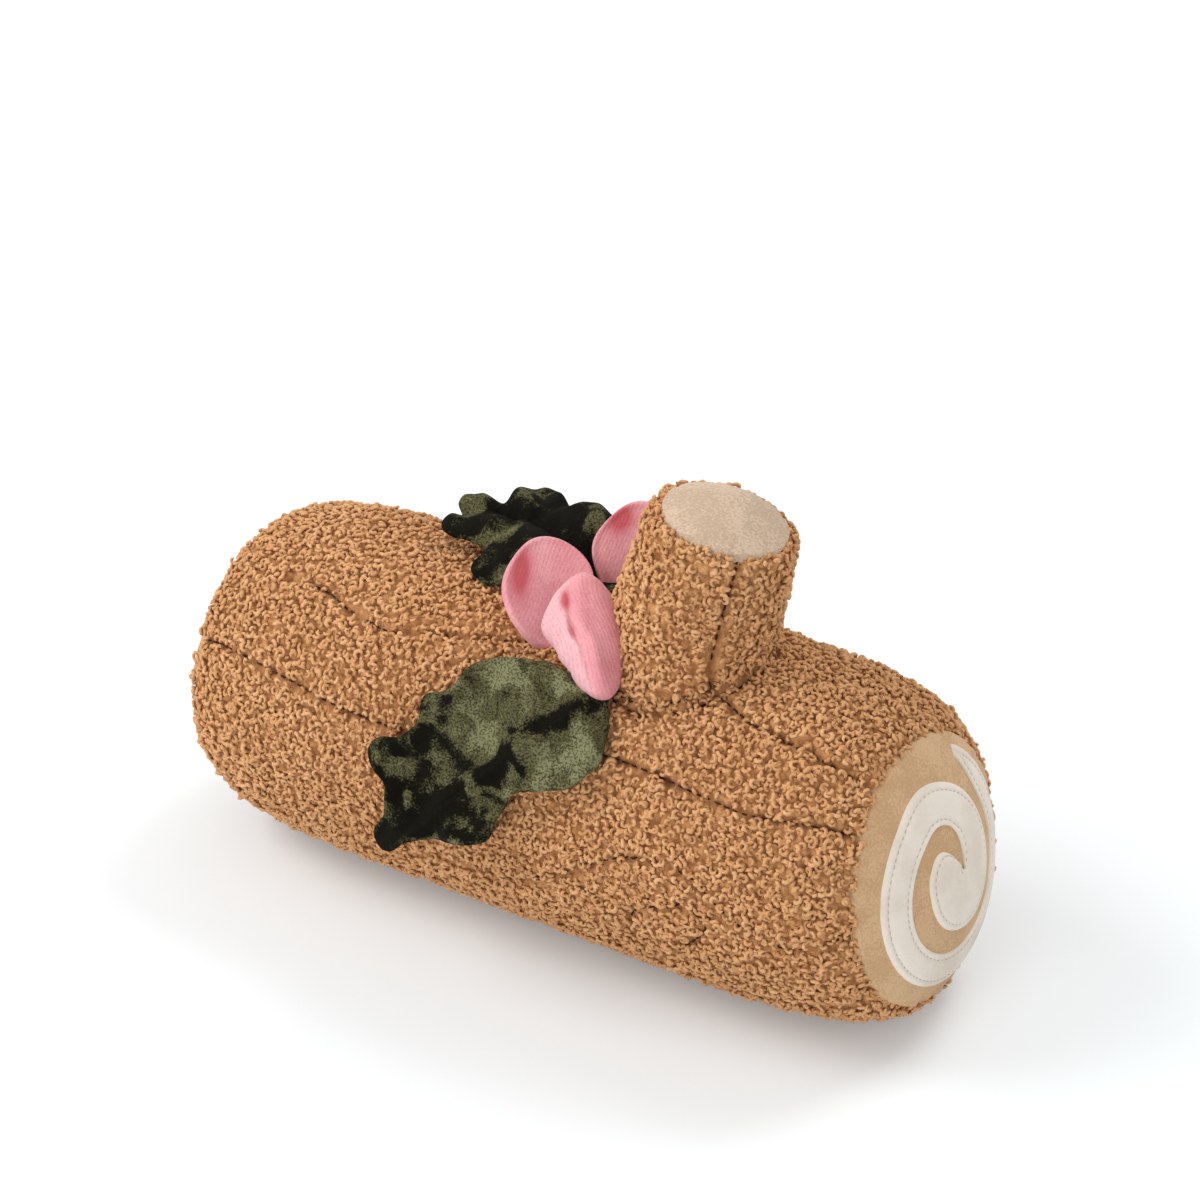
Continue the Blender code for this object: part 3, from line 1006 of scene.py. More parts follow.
    def build_curls(self) -> list[Piece]:
        """Loops of yarn over the backing, in bands along the tube.

        Each loop is an arc of a circle swept by a small square tube: its plane tilts at random from
        the cloth, and it climbs a little as it turns.

        Returns:
            One piece a band.
        """
        s, q, lying = self.scatter()
        order = np.argsort(s, kind="stable")
        s, q, lying = s[order], q[order], lying[order]
        rng, count = self.rng, len(s)
        along, around, out = self.form.basis(s, q)
        base = self.height_at(s, q, self.relief)
        tilt = np.where(lying, rng.uniform(0.1, 0.7, count), rng.uniform(0.5, 1.35, count))[:, None]
        heading = rng.uniform(0.0, TAU, count)[:, None]
        level = np.cos(heading) * along + np.sin(heading) * around
        normal = np.cos(tilt) * out + np.sin(tilt) * level
        first = -np.sin(tilt) * out + np.cos(tilt) * level
        second = np.cross(normal, first)
        ring = rng.uniform(*self.ring, count)[:, None, None]
        yarn = rng.uniform(*self.yarn, count)[:, None, None]
        start = rng.uniform(0.0, TAU, count)[:, None]
        sweep = rng.uniform(*self.sweep, count)[:, None] * rng.choice([-1.0, 1.0], count)[:, None]
        steps = np.linspace(0.0, 1.0, len(LOOP_TAPER))[None, :]
        angle = start + sweep * steps
        radial = np.cos(angle)[..., None] * first[:, None] + np.sin(angle)[..., None] * second[:, None]
        climb = rng.uniform(-0.0008, 0.0008, count)[:, None, None] * (steps[..., None] - 0.5)
        lift = base + 0.0002 + 0.0010 * np.sin(tilt[:, 0]) + rng.uniform(-0.0002, 0.0006, count)
        middle = self.form.point(s, q, lift)[:, None] + ring * radial + climb * normal[:, None]
        thick = yarn * np.array(LOOP_TAPER)[None, :, None]
        corner = np.arange(LOOP_SIDES) * TAU / LOOP_SIDES
        rim = np.cos(corner)[:, None] * radial[:, :, None] + np.sin(corner)[:, None] * normal[:, None, None]
        points = middle[:, :, None] + thick[..., None] * rim
        points[..., 2] = np.maximum(points[..., 2], 0.0)
        height = np.einsum("nijk,nk->nij", points - self.form.point(s, q, base)[:, None, None], out)
        tone = np.broadcast_to(rng.random(count)[:, None, None], height.shape)
        size = (len(LOOP_TAPER), LOOP_SIDES)
        faces, flat = grid_faces(*size, wrap_columns=True), grid_map(*size, wrap_columns=True)
        pieces = []
        for band, members in enumerate(np.array_split(np.arange(count), self.bands)):
            offsets = np.arange(len(members))[:, None, None] * len(LOOP_TAPER) * LOOP_SIDES
            flip = (sweep[members, 0] > 0)[:, None, None]
            quads = np.where(flip, faces[None], faces[None, :, ::-1]) + offsets
            wide = math.ceil(math.sqrt(len(members)))
            cell = np.stack(np.divmod(np.arange(len(members)), wide), -1)[:, None, None]
            places = np.where(flip[..., None], flat[None], flat[None, :, ::-1])
            places = (cell + 0.1 + 0.8 * places) / wide
            name = f"{self.name}_loops_{band + 1}" if self.bands > 1 else f"{self.name}_loops"
            piece = new_mesh_object(name, points[members], quads.reshape(-1, 4), flat_map=places)
            set_values(piece, "tone", tone[members])
            # Painted shade: rise is each point's height over the backing, and the material darkens low points
            # towards the root.
            set_values(piece, "rise", np.clip(height[members] / self.loop_height, 0.0, 1.0))
            pieces.append(piece)
        return pieces

    def build_stitches(self, length: float = 0.0036, gap: float = 0.0014) -> Piece:
        """Dark thread along the sewn lines: short runs that dive at both ends, some lost in the pile.

        Args:
            length: A run's length.
            gap: The space between runs.

        Returns:
            The new piece.
        """
        runs = []
        for line in self.lines:
            reach = lengths_along(line[:, :2])
            starts = np.arange(0.0, reach[-1] - length, length + gap)
            starts = starts[self.rng.random(len(starts)) < line[0, 2] ** 2]
            at = starts[:, None] + np.linspace(0.0, length, 5)[None, :]
            runs.append(read_line(at, reach, line))
        runs = np.concatenate(runs)
        s, q = runs[..., 0], runs[..., 1] % self.form.girth
        lift = -self.backing_depth - self.groove_depth * runs[..., 2] + self.thread_lift
        bow = np.array([-0.0014, 0.0, 0.0003, 0.0, -0.0014])[None, :]
        middle = self.form.point(s, q, lift + bow)
        return thread_runs(self.name + "_stitches", middle, self.form.basis(s, q)[2], 0.00045)

    def build(self, cloth: BoucleCloth) -> None:
        """Make the backing, its loops and its stitches, and dress them.

        Args:
            cloth: Their materials.
        """
        finish_piece(self.build_backing(), cloth.backing, (self.node,))
        for piece in self.build_curls():
            finish_piece(piece, cloth.yarn)
        finish_piece(self.build_stitches(), cloth.thread)


def thread_runs(name: str, middle: Array, out: Array, radius: float, sides: int = 5) -> Piece:
    """Many short threads as one mesh: a circle carried along each run of points, pinched at its ends.

    Args:
        name: The piece's name.
        middle: Points of each run, as an array of runs by points by three.
        out: The cloth's outward direction at each point.
        radius: The thread's radius.
        sides: How many sides the thread has.

    Returns:
        The new piece.
    """
    runs, steps = middle.shape[:2]
    along = unit(np.gradient(middle, axis=1))
    side = unit(np.cross(along, out))
    up = np.cross(side, along)
    turn = np.arange(sides) * TAU / sides
    thick = np.full(steps, radius)
    thick[[0, -1]] *= 0.2
    ring = np.cos(turn)[:, None] * side[:, :, None] + np.sin(turn)[:, None] * up[:, :, None]
    points = middle[:, :, None] + thick[None, :, None, None] * ring
    faces = grid_faces(steps, sides, wrap_columns=True)[None, :, ::-1]
    quads = faces + np.arange(runs)[:, None, None] * steps * sides
    return new_mesh_object(name, points, quads.reshape(-1, 4))


@dataclass(frozen=True)
class SewnLine:
    """A line of bark sewn into the log: points of (X in mm, degrees from the top towards the front).

    The tighter its thread is drawn, the deeper it sinks and the more of its stitches show.
    """

    points: tuple[tuple[float, float], ...]
    tightness: float = 0.75
    closed: bool = False

    def on(self, form: LogForm) -> Array:
        """The line in the log's cloth coordinates with its tightness, a point every 2 mm.

        Args:
            form: The log.

        Returns:
            Rows of (length along, length round, tightness).
        """
        x, degrees = np.array(self.points, float).T
        knots = np.stack([form.s_at(x * MM), np.radians(degrees) * form.radius], 1)
        span = np.linalg.norm(np.diff(knots, axis=0), axis=1).sum()
        line = flowing_line(tuple(map(tuple, knots)), int(span / 0.002) + 8, self.closed)
        line = line[(line[:, 0] >= 0.0) & (line[:, 0] <= form.length)]
        return np.column_stack([line, np.full(len(line), self.tightness)])


BARK_LINES = (
    SewnLine(((-178, 61), (-157, 60), (-118, 63), (-90, 66), (-51, 67)), 0.90),
    SewnLine(((-51, 67), (0, 60), (47, 52), (100, 54), (124, 55), (151, 52), (178, 49)), 1.0),
    SewnLine(((-139, 29), (-118, 29), (-102, 33), (-88, 35), (-75, 36), (-60, 33), (-40, 29), (-19, 25),
              (-3, 21)), 0.86),
    SewnLine(((-38, 110), (-4, 110), (21, 105), (40, 96), (60, 86), (79, 81), (97, 81), (106, 83), (124, 93),
              (147, 99), (165, 95), (178, 90)), 0.86),
    SewnLine(((82, 18), (104, 24), (115, 26), (144, 28), (178, 29)), 0.90),
    SewnLine(((71, 107), (77, 101), (90, 97), (100, 93), (110, 98), (104, 107), (84, 121), (73, 115)), 0.80,
             closed=True),
    SewnLine(((-178, 118), (-140, 122), (-95, 117), (-50, 128), (0, 132), (50, 126), (110, 131), (178, 126))),
    SewnLine(((-178, -25), (-130, -30), (-90, -22), (-60, -20))),
    SewnLine(((70, -28), (100, -24), (140, -31), (178, -28))),
    SewnLine(((-178, -62), (-120, -58), (-60, -66), (0, -60), (60, -68), (120, -60), (178, -64))),
    SewnLine(((-150, -98), (-90, -92), (-30, -100), (20, -96), (90, -104), (178, -98))),
    SewnLine(((-178, -134), (-100, -128), (-20, -138), (60, -130), (130, -136), (178, -132))),
    SewnLine(((-78, -80), (-66, -74), (-50, -77), (-42, -83), (-55, -90), (-72, -88)), closed=True),
)


# --- End discs and spirals ---


@dataclass
class Dome:
    """A round cloth disc pushed out by the stuffing, seen along its own axis.

    Its height is that of a parabola over its rim, with faint puckers that fade away from the seam.
    """

    rim: float
    rise: float
    origin: Array
    right: Array
    up: Array
    out: Array
    pucker: float = 0.0004
    seed: int = 1

    def height(self, radius: Array, turn: Array) -> Array:
        """How far the cloth stands over the seam's plane.

        Args:
            radius: Ways from the disc's middle.
            turn: Angles round it.

        Returns:
            The heights.
        """
        share = radius / self.rim
        rng = np.random.default_rng(self.seed)
        folds = sum(rng.uniform(0.4, 1.0) * np.cos(k * turn + rng.uniform(0, TAU)) for k in (13, 19, 29, 37))
        soft = 0.0006 * np.cos(2 * turn + 0.7) * share ** 2 * (1 - share ** 2) * 4.0
        return self.rise * (1.0 - share ** 2) + self.pucker * folds * share ** 14 + soft

    def place(self, right: Array, up: Array, lift: Array | float = 0.0) -> Array:
        """Points on the disc from flat places on it, raised along its axis.

        Args:
            right: Ways to the right.
            up: Ways up.
            lift: Extra height.

        Returns:
            The points.
        """
        high = self.height(np.hypot(right, up), np.arctan2(right, up)) + lift
        return (self.origin + right[..., None] * self.right + up[..., None] * self.up
                + high[..., None] * self.out)

    def build(self, name: str, rings: int = 60, spokes: int = 240) -> Piece:
        """The disc's cloth, turned in just outside its seam.

        Args:
            name: The piece's name.
            rings: How many rings of points.
            spokes: How many points in a ring.

        Returns:
            The new piece.
        """
        radius = self.rim * np.linspace(0.0, 1.0, rings) ** 0.9
        radius[0] = self.rim * 0.001
        turn = np.arange(spokes) * TAU / spokes
        r, t = np.meshgrid(radius, turn, indexing="ij")
        points = self.place(r * np.sin(t), r * np.cos(t))
        tucked = self.place(1.01 * self.rim * np.sin(turn), 1.01 * self.rim * np.cos(turn), -0.004)
        points = np.concatenate([points, tucked[None]])
        faces = grid_faces(rings + 1, spokes, wrap_columns=True)[:, ::-1]
        if np.dot(np.cross(self.right, self.up), self.out) > 0:
            faces = faces[:, ::-1]
        spread = np.concatenate([radius, [self.rim * 1.03]])[:, None] / self.rim * 0.48
        flat = 0.5 + np.stack([spread * np.sin(turn), spread * np.cos(turn)], -1).reshape(-1, 2)
        return new_mesh_object(name, points, faces, flat_map=flat[faces])


@dataclass
class SpiralBand:
    """The cream band sewn on an end disc: it winds inwards clockwise, past a shoulder, to a hook.

    Its two edges are stations of (degrees clockwise from the top, radius in mm).
    """

    outer_edge: tuple = ((30, 56.0), (60, 55.0), (110, 54.0), (190, 51.0), (216, 49.5), (283, 49.5),
                         (320, 48.0), (345, 48.0), (376, 41.8), (405, 36.3), (437, 31.0), (510, 25.5),
                         (573, 22.1), (630, 22.2), (665, 24.0), (695, 20.5), (708, 13.0), (716, 4.5))
    inner_edge: tuple = ((30, 51.0), (46, 44.0), (91, 38.0), (156, 34.0), (212, 33.3), (279, 33.6),
                         (318, 32.0), (350, 29.5), (366, 24.0), (377, 16.7), (384, 9.0), (392, 4.5))
    thickness: float = 0.0012
    stitch_inset: float = 0.0030
    hook_from: float = 366.0

    def edge(self, stations: tuple, degrees: Array) -> Array:
        """Flat places on one edge: its radius runs smoothly between stations.

        Args:
            stations: The edge's stations.
            degrees: Angles clockwise from the top.

        Returns:
            Ways to the right and up, in metres.
        """
        known, radii = np.array(stations, float).T
        slope = np.gradient(radii, known)
        at = np.clip(np.searchsorted(known, degrees, side="right") - 1, 0, len(known) - 2)
        span = known[at + 1] - known[at]
        t = (degrees - known[at]) / span
        radius = MM * (radii[at] * (1 + 2 * t) * (1 - t) ** 2 + slope[at] * span * t * (1 - t) ** 2
                       + radii[at + 1] * t * t * (3 - 2 * t) + slope[at + 1] * span * t * t * (t - 1))
        angle = np.radians(degrees)
        return np.stack([radius * np.sin(angle), radius * np.cos(angle)], -1)

    def edges(self, count: int) -> tuple[Array, Array]:
        """Matching places on both edges: side by side on the turns, fanned out round the hook.

        Args:
            count: How many places.

        Returns:
            Places on the outer edge and on the inner one.
        """
        share = np.linspace(0.0, 1.0, count)
        split = 0.60
        fan = np.clip((share - split) / (1.0 - split), 0.0, 1.0)
        turn = np.clip(share / split, 0.0, 1.0)
        last_outer, last_inner = self.outer_edge[-1][0], self.inner_edge[-1][0]
        first = self.outer_edge[0][0]
        outer = first + (self.hook_from - first) * turn + (last_outer - self.hook_from) * fan
        inner = first + (self.hook_from - first) * turn + (last_inner - self.hook_from) * fan ** 0.5
        return self.edge(self.outer_edge, outer), self.edge(self.inner_edge, inner)

    def build(self, name: str, dome: Dome) -> Piece:
        """The band's cloth on a dome: a strip between its edges, folded down and pinched at its stitching.

        Args:
            name: The piece's name.
            dome: The disc it is sewn to.

        Returns:
            The new piece.
        """
        outer, inner = self.edges(520)
        across = np.linspace(0.0, 1.0, 33)
        across = 0.5 - 0.5 * np.cos(np.pi * across)
        flat = outer[:, None] * (1 - across[None, :, None]) + inner[:, None] * across[None, :, None]
        width = np.linalg.norm(outer - inner, axis=1)[:, None]
        from_edge = np.minimum(across, 1 - across)[None, :] * width
        puff = self.thickness * (1.0 - np.exp(-from_edge / 0.0005))
        puff -= 0.00045 * np.exp(-((from_edge - self.stitch_inset) / 0.0006) ** 2)
        puff += 0.0004 * smoothstep(self.stitch_inset, self.stitch_inset + 0.003, from_edge)
        puff = (puff + 0.0003) * (1.0 - np.exp(-lengths_along(outer) / 0.0007))[:, None] - 0.0003
        points = dome.place(flat[..., 0], flat[..., 1], puff)
        faces = grid_faces(len(outer), len(across))
        if np.dot(np.cross(dome.right, dome.up), dome.out) < 0:
            faces = faces[:, ::-1]
        places = (0.5 + 0.48 * flat / dome.rim).reshape(-1, 2)
        return new_mesh_object(name, points, faces, flat_map=places[faces])

    def build_stitches(self, name: str, dome: Dome, length: float = 0.0026, gap: float = 0.0007) -> Piece:
        """Topstitching that runs inside both of the band's edges.

        Args:
            name: The piece's name.
            dome: The disc it is sewn to.
            length: A stitch's length.
            gap: The space between stitches.

        Returns:
            The new piece.
        """
        runs = []
        outer, inner = self.edges(1400)
        middle = (outer + inner) / 2
        for edge in (outer, inner):
            inward = unit(middle - edge)
            room = np.linalg.norm(middle - edge, axis=1)
            line = (edge + inward * self.stitch_inset)[room > self.stitch_inset * 1.4]
            reach = lengths_along(line)
            starts = np.arange(0.0, reach[-1] - length, length + gap)
            at = starts[:, None] + np.linspace(0, length, 4)[None, :]
            runs.append(read_line(at, reach, line))
        runs = np.concatenate(runs)
        bow = self.thickness - 0.0003 + np.array([-0.0003, 0.0, 0.0, -0.0003])[None, :]
        points = dome.place(runs[..., 0], runs[..., 1], np.broadcast_to(bow, runs.shape[:2]))
        out = np.broadcast_to(dome.out, points.shape)
        return thread_runs(name, points, out, 0.00022, sides=4)


# --- Stuffed shapes: leaves and berries ---


@dataclass
class StuffedPad:
    """Two layers of cloth sewn round an outline and along a middle seam, then stuffed.

    It is worked out flat, in (along, across, up). Each section runs from the middle seam over the top
    layer to the outline and back under the bottom layer, so the pad is one closed ring round its seam.
    """

    outline: Array
    seam: Array
    plump: float
    edge: float
    steps: int = 12
    overlap: float = 0.0007

    def seam_points(self) -> Array:
        """For each point of the outline, where its section starts: just over the seam, so none gapes.

        Returns:
            One flat place for each point of the outline.
        """
        reach = np.linspace(0.0, 1.0, len(self.seam))
        way = self.seam[-1] - self.seam[0]
        share = np.clip(((self.outline - self.seam[0]) @ way) / (way @ way), 0.0, 1.0)
        start = read_line(share, reach, self.seam)
        return start - unit(self.outline - start) * self.overlap

    def flat_points(self) -> Array:
        """The pad before it is stuffed: sections by steps by three, thin all over.

        Returns:
            The pad's points.
        """
        start = self.seam_points()
        t = np.concatenate([np.linspace(0.0, 1.0, self.steps), np.linspace(1.0, 0.0, self.steps + 1)[1:]])
        side = np.concatenate([np.ones(self.steps), -np.ones(self.steps)])
        side[self.steps - 1] = 0.0
        place = start[:, None] + (self.outline - start)[:, None] * t[None, :, None]
        width = np.linalg.norm(self.outline - start, axis=1)[:, None]
        bulge = np.sin(np.pi * np.clip(t, 0.0, 1.0)) ** 0.5
        up = side * (self.edge + (self.plump - self.edge) * bulge * np.clip(width / 0.02, 0.3, 1.0))
        up = up * np.where(t > 0.999, 0.0, 1.0)
        return np.concatenate([place, np.broadcast_to(up, place.shape[:2])[..., None]], -1)

    def build(self, name: str) -> Piece:
        """The pad as a piece: quads join the sections into a ring.

        Args:
            name: The piece's name.

        Returns:
            The new piece.
        """
        size = (len(self.outline), 2 * self.steps)
        return new_mesh_object(name, self.flat_points(), grid_faces(*size, wrap_rows=True, wrap_columns=True),
                               flat_map=grid_map(*size, wrap_rows=True, wrap_columns=True))


def inflate(piece: Piece, pinned: Array, pressure: float, frames: int, cap: float) -> None:
    """Stuff a flat sewn piece by a cloth simulation, keeping its sewn points still.

    Args:
        piece: The closed piece, whose mesh is replaced by the stuffed one.
        pinned: Which vertices are held by a seam.
        pressure: The stuffing's pressure.
        frames: How long to let it swell.
        cap: The furthest that a point may move.
    """
    before = get_points(piece)
    group = piece.vertex_groups.new(name="sewn")
    group.add([int(i) for i in np.flatnonzero(pinned)], 1.0, "REPLACE")
    cloth = piece.modifiers.new("Stuffing", "CLOTH")
    settings = cloth.settings
    settings.quality = 6
    settings.mass = 0.2
    settings.tension_stiffness = 40.0
    settings.compression_stiffness = 12.0
    settings.shear_stiffness = 12.0
    settings.bending_stiffness = 0.2
    settings.use_pressure = True
    settings.uniform_pressure_force = pressure
    settings.vertex_group_mass = "sewn"
    settings.effector_weights.gravity = 0.0
    cloth.point_cache.frame_start = 1
    cloth.point_cache.frame_end = frames
    scene = bpy.context.scene
    for step in range(1, frames + 1):
        scene.frame_set(step)
    evaluated = piece.evaluated_get(bpy.context.evaluated_depsgraph_get())
    after = np.empty(len(before) * 3, np.float32)
    evaluated.to_mesh().vertices.foreach_get("co", after)
    evaluated.to_mesh_clear()
    piece.modifiers.remove(cloth)
    piece.vertex_groups.clear()
    scene.frame_set(1)
    move = after.reshape(-1, 3) - before
    size = np.linalg.norm(move, axis=1, keepdims=True)
    put_points(piece, before + move * np.minimum(1.0, cap / np.maximum(size, 1e-9)))


def subdivided(piece: Piece, levels: int) -> None:
    """Apply a subdivision to a piece's mesh.

    Args:
        piece: The piece, whose mesh is replaced.
        levels: How many times each face is split.
    """
    subsurf = piece.modifiers.new("Smooth", "SUBSURF")
    subsurf.levels = levels
    subsurf.render_levels = levels
    evaluated = piece.evaluated_get(bpy.context.evaluated_depsgraph_get())
    mesh = bpy.data.meshes.new_from_object(evaluated)
    piece.modifiers.remove(subsurf)
    old = piece.data
    piece.data = mesh
    mesh.name = piece.name
    mesh.shade_smooth()
    bpy.data.meshes.remove(old)


@dataclass
class HollyLeaf:
    """A padded holly leaf: worked flat from its outline and midrib, stuffed, then laid on the log.

    outline, midrib and folds are (along, across) in mm from the leaf's base. Each fold runs from a
    notch in towards the midrib.
    """

    name: str
    outline: tuple
    midrib: tuple
    folds: tuple
    form: LogForm
    seed: int
    # Painted shade along the leaf: its amount at the base and at the tip.
    painted_shade: tuple[float, float] = (0.0, 1.0)
    pressure: float = 3.0
    facing: float = -1.0
    crease_depth: float = 0.0034
    midrib_width: float = 0.0055
    fold_width: float = 0.0036
    wave_share: float = 0.042

    def laid(self, along: Array, across: Array, up: Array) -> Array:
        """Where a flat point of the leaf comes to lie on the log."""
        raise NotImplementedError

    def bent(self, flat: Array) -> Array:
        """Flat points bent over the leaf's sheet: each stands off it along the sheet's normal.

        Args:
            flat: Points of the flat leaf.

        Returns:
            Where they come to lie.
        """
        along, across, up = flat.T
        step = 0.0005
        here = self.laid(along, across, 0.0 * up)
        ahead = self.laid(along + step, across, 0.0 * up) - here
        aside = self.laid(along, across + step, 0.0 * up) - here
        normal = unit(np.cross(ahead, aside)) * self.facing
        return here + normal * up[:, None]

    def creased(self, flat: Array, seam: Array) -> Array:
        """Height added to the whole leaf: folds at its notches, a valley at its midrib and soft waves.

        Folds and valley are bell curves of the distance to their line; the waves are a sum of four
        cosines with random headings.

        Args:
            flat: Points of the flat leaf.
            seam: The midrib's points.

        Returns:
            The added height at each point.
        """
        rng = np.random.default_rng(self.seed)
        place = flat[:, :2]
        height = -self.crease_depth * np.exp(-(self.distance(place, seam) / self.midrib_width) ** 2)
        for fold in self.folds:
            start, end = np.array(fold, float) * MM
            way = end - start
            share = np.clip(((place - start) @ way) / (way @ way), 0.0, 1.0)
            away = np.linalg.norm(place - start - share[:, None] * way, axis=1)
            height -= self.crease_depth * (1.0 - 0.6 * share) * np.exp(-(away / self.fold_width) ** 2)
        for size in (0.034, 0.024, 0.016, 0.011):
            heading, phase = rng.uniform(0.0, TAU, 2)
            wave = place @ np.array([math.cos(heading), math.sin(heading)])
            height += self.wave_share * size * np.cos(wave / size * TAU + phase)
        return height

    def distance(self, place: Array, line: Array) -> Array:
        """How far each flat place is from a line of points."""
        return np.min(np.linalg.norm(place[:, None] - line[None, ::3], axis=2), axis=1)

    def build(self) -> Piece:
        """The stuffed leaf on the log.

        Returns:
            The new piece.
        """
        outline = flowing_line(self.outline, 230, closed=True) * MM
        seam = flowing_line(self.midrib, 60) * MM
        pad = StuffedPad(outline, seam, plump=0.0024, edge=0.0008, steps=11)
        piece = pad.build(self.name)
        pinned = np.zeros((len(outline), 2 * pad.steps), bool)
        pinned[:, [0, -1]] = True
        inflate(piece, pinned.ravel(), self.pressure, 16, 0.009)
        subdivided(piece, 1)
        flat = get_points(piece)
        # Painted shade: the fold value darkens the leaf along its midrib crease.
        fold = np.exp(-(self.distance(flat[:, :2], seam) / self.midrib_width) ** 2)
        # Painted shade that runs from the leaf's base to its tip.
        low, high = self.painted_shade
        painted_shade = low + (high - low) * smoothstep(0.25, 0.75, flat[:, 0] / flat[:, 0].max())
        flat[:, 2] += self.creased(flat, seam)
        put_points(piece, self.bent(flat))
        set_values(piece, "fold", fold)
        set_values(piece, "painted_shade", painted_shade)
        return piece


@dataclass
class FrontLeaf(HollyLeaf):
    """The leaf that hangs over the log's front, its long edges standing a little proud.

    Its outline winds so that, laid flat, its faces look inwards: the stuffing's pressure draws its layers
    together instead of filling them. Its up points at the log, so its folds and midrib stand out as ridges.
    """

    base: tuple[float, float] = (0.038, 0.054)
    way: tuple[float, float] = (-0.697, 0.717)
    clearance: float = 0.0085
    lift: float = 0.009
    hang_degrees: float = 75.0
    half_width: float = 0.038
    length: float = 0.134

    def laid(self, along: Array, across: Array, up: Array) -> Array:
        """Wrap the leaf round the log to where it hangs straight, and raise its long edges.

        Args:
            along: Way along the leaf from its base.
            across: Way across it.
            up: Height over its sheet.

        Returns:
            The points on the log.
        """
        x = self.base[0] + along * self.way[0] + across * self.way[1]
        arc = self.base[1] + along * self.way[1] - across * self.way[0]
        height = self.clearance + self.lift * (across / self.half_width) ** 2 * (along / self.length) + up
        height = height - 0.004 * smoothstep(0.03, 0.0, along)
        hang_from = math.radians(self.hang_degrees)
        radius = self.form.radius + height
        angle = np.minimum(arc / self.form.radius, hang_from)
        hang = np.maximum(arc - self.form.radius * hang_from, 0.0)
        y = -radius * np.sin(angle) - hang * math.cos(hang_from)
        z = self.form.axis_z + radius * np.cos(angle) - hang * math.sin(hang_from)
        return np.stack([x, y, z], -1)


@dataclass
class BackLeaf(HollyLeaf):
    """The leaf that starts on the log's top and stands out stiffly behind it.

    Its stuffing fills it, but its faces look inwards once it is laid on the log.
    """

    base: tuple[float, float] = (0.014, 0.016)
    way: tuple[float, float] = (-0.991, 0.13)
    clearance: float = 0.006
    tail_low: float = 0.158
    tail_rise: float = 0.014

    def laid(self, along: Array, across: Array, up: Array) -> Array:
        """Lie on the log near the base, then follow a stiff plane that rises towards the back.

        Args:
            along: Way along the leaf from its base.
            across: Way across it.
            up: Height over its sheet.

        Returns:
            The points on the log.
        """
        x = self.base[0] + along * self.way[0] + across * self.way[1]
        y = self.base[1] + along * self.way[1] - across * self.way[0]
        turn = y / self.form.radius
        radius = self.form.radius + self.clearance + up
        wrapped = np.stack([x, radius * np.sin(turn), self.form.axis_z + radius * np.cos(turn)], -1)
        t = np.clip((y + 0.016) / 0.055, 0.0, 1.0)
        stiff = np.stack([x, y, self.tail_low + self.tail_rise * (1 - (1 - t) ** 2) + up], -1)
        free = smoothstep(0.005, 0.035, along)[..., None]
        return wrapped * (1 - free) + stiff * free


FRONT_OUTLINE = (
    (-8, 0), (-6, -8), (3, -17), (12, -28), (26, -36), (38, -43), (45, -43), (51, -38), (58, -39),
    (66, -42), (71, -38), (76, -34), (84, -34), (94, -39), (101, -36), (102, -27), (104, -17),
    (114, -10), (124, -7), (128, 0), (124, 6), (109, 8), (98, 13), (85, 22), (73, 27), (63, 23),
    (54, 19), (44, 18), (33, 24), (22, 29), (12, 29), (3, 24), (-5, 10),
)
FRONT_MIDRIB = ((4, 0), (35, 1), (65, 2), (92, 3))
FRONT_FOLDS = (((50, -38), (58, -14)), ((82, -34), (80, -12)), ((104, -16), (92, -4)), ((108, 8), (92, 5)),
               ((46, 18), (60, 8)), ((12, -28), (34, -12)))
BACK_OUTLINE = (
    (-4, 0), (0, 16), (14, 28), (26, 32), (40, 31), (54, 27), (64, 29), (73, 31), (80, 29),
    (81, 21), (82, 11), (88, 5), (95, 4), (100, 0), (98, -7), (93, -10), (97, -14), (97, -20),
    (90, -26), (80, -24), (71, -22), (67, -26), (67, -34), (61, -39), (52, -39), (42, -33),
    (30, -26), (18, -27), (6, -22), (-2, -10),
)
BACK_MIDRIB = ((2, 0), (33, 1), (57, 3), (80, 0))
BACK_FOLDS = (((54, 27), (60, 8)), ((83, 9), (72, 4)), ((93, -10), (78, -4)), ((69, -23), (62, -6)),
              ((30, -26), (42, -8)))


BERRY_FACING = Vector((0.4618, -0.7221, 0.5150))


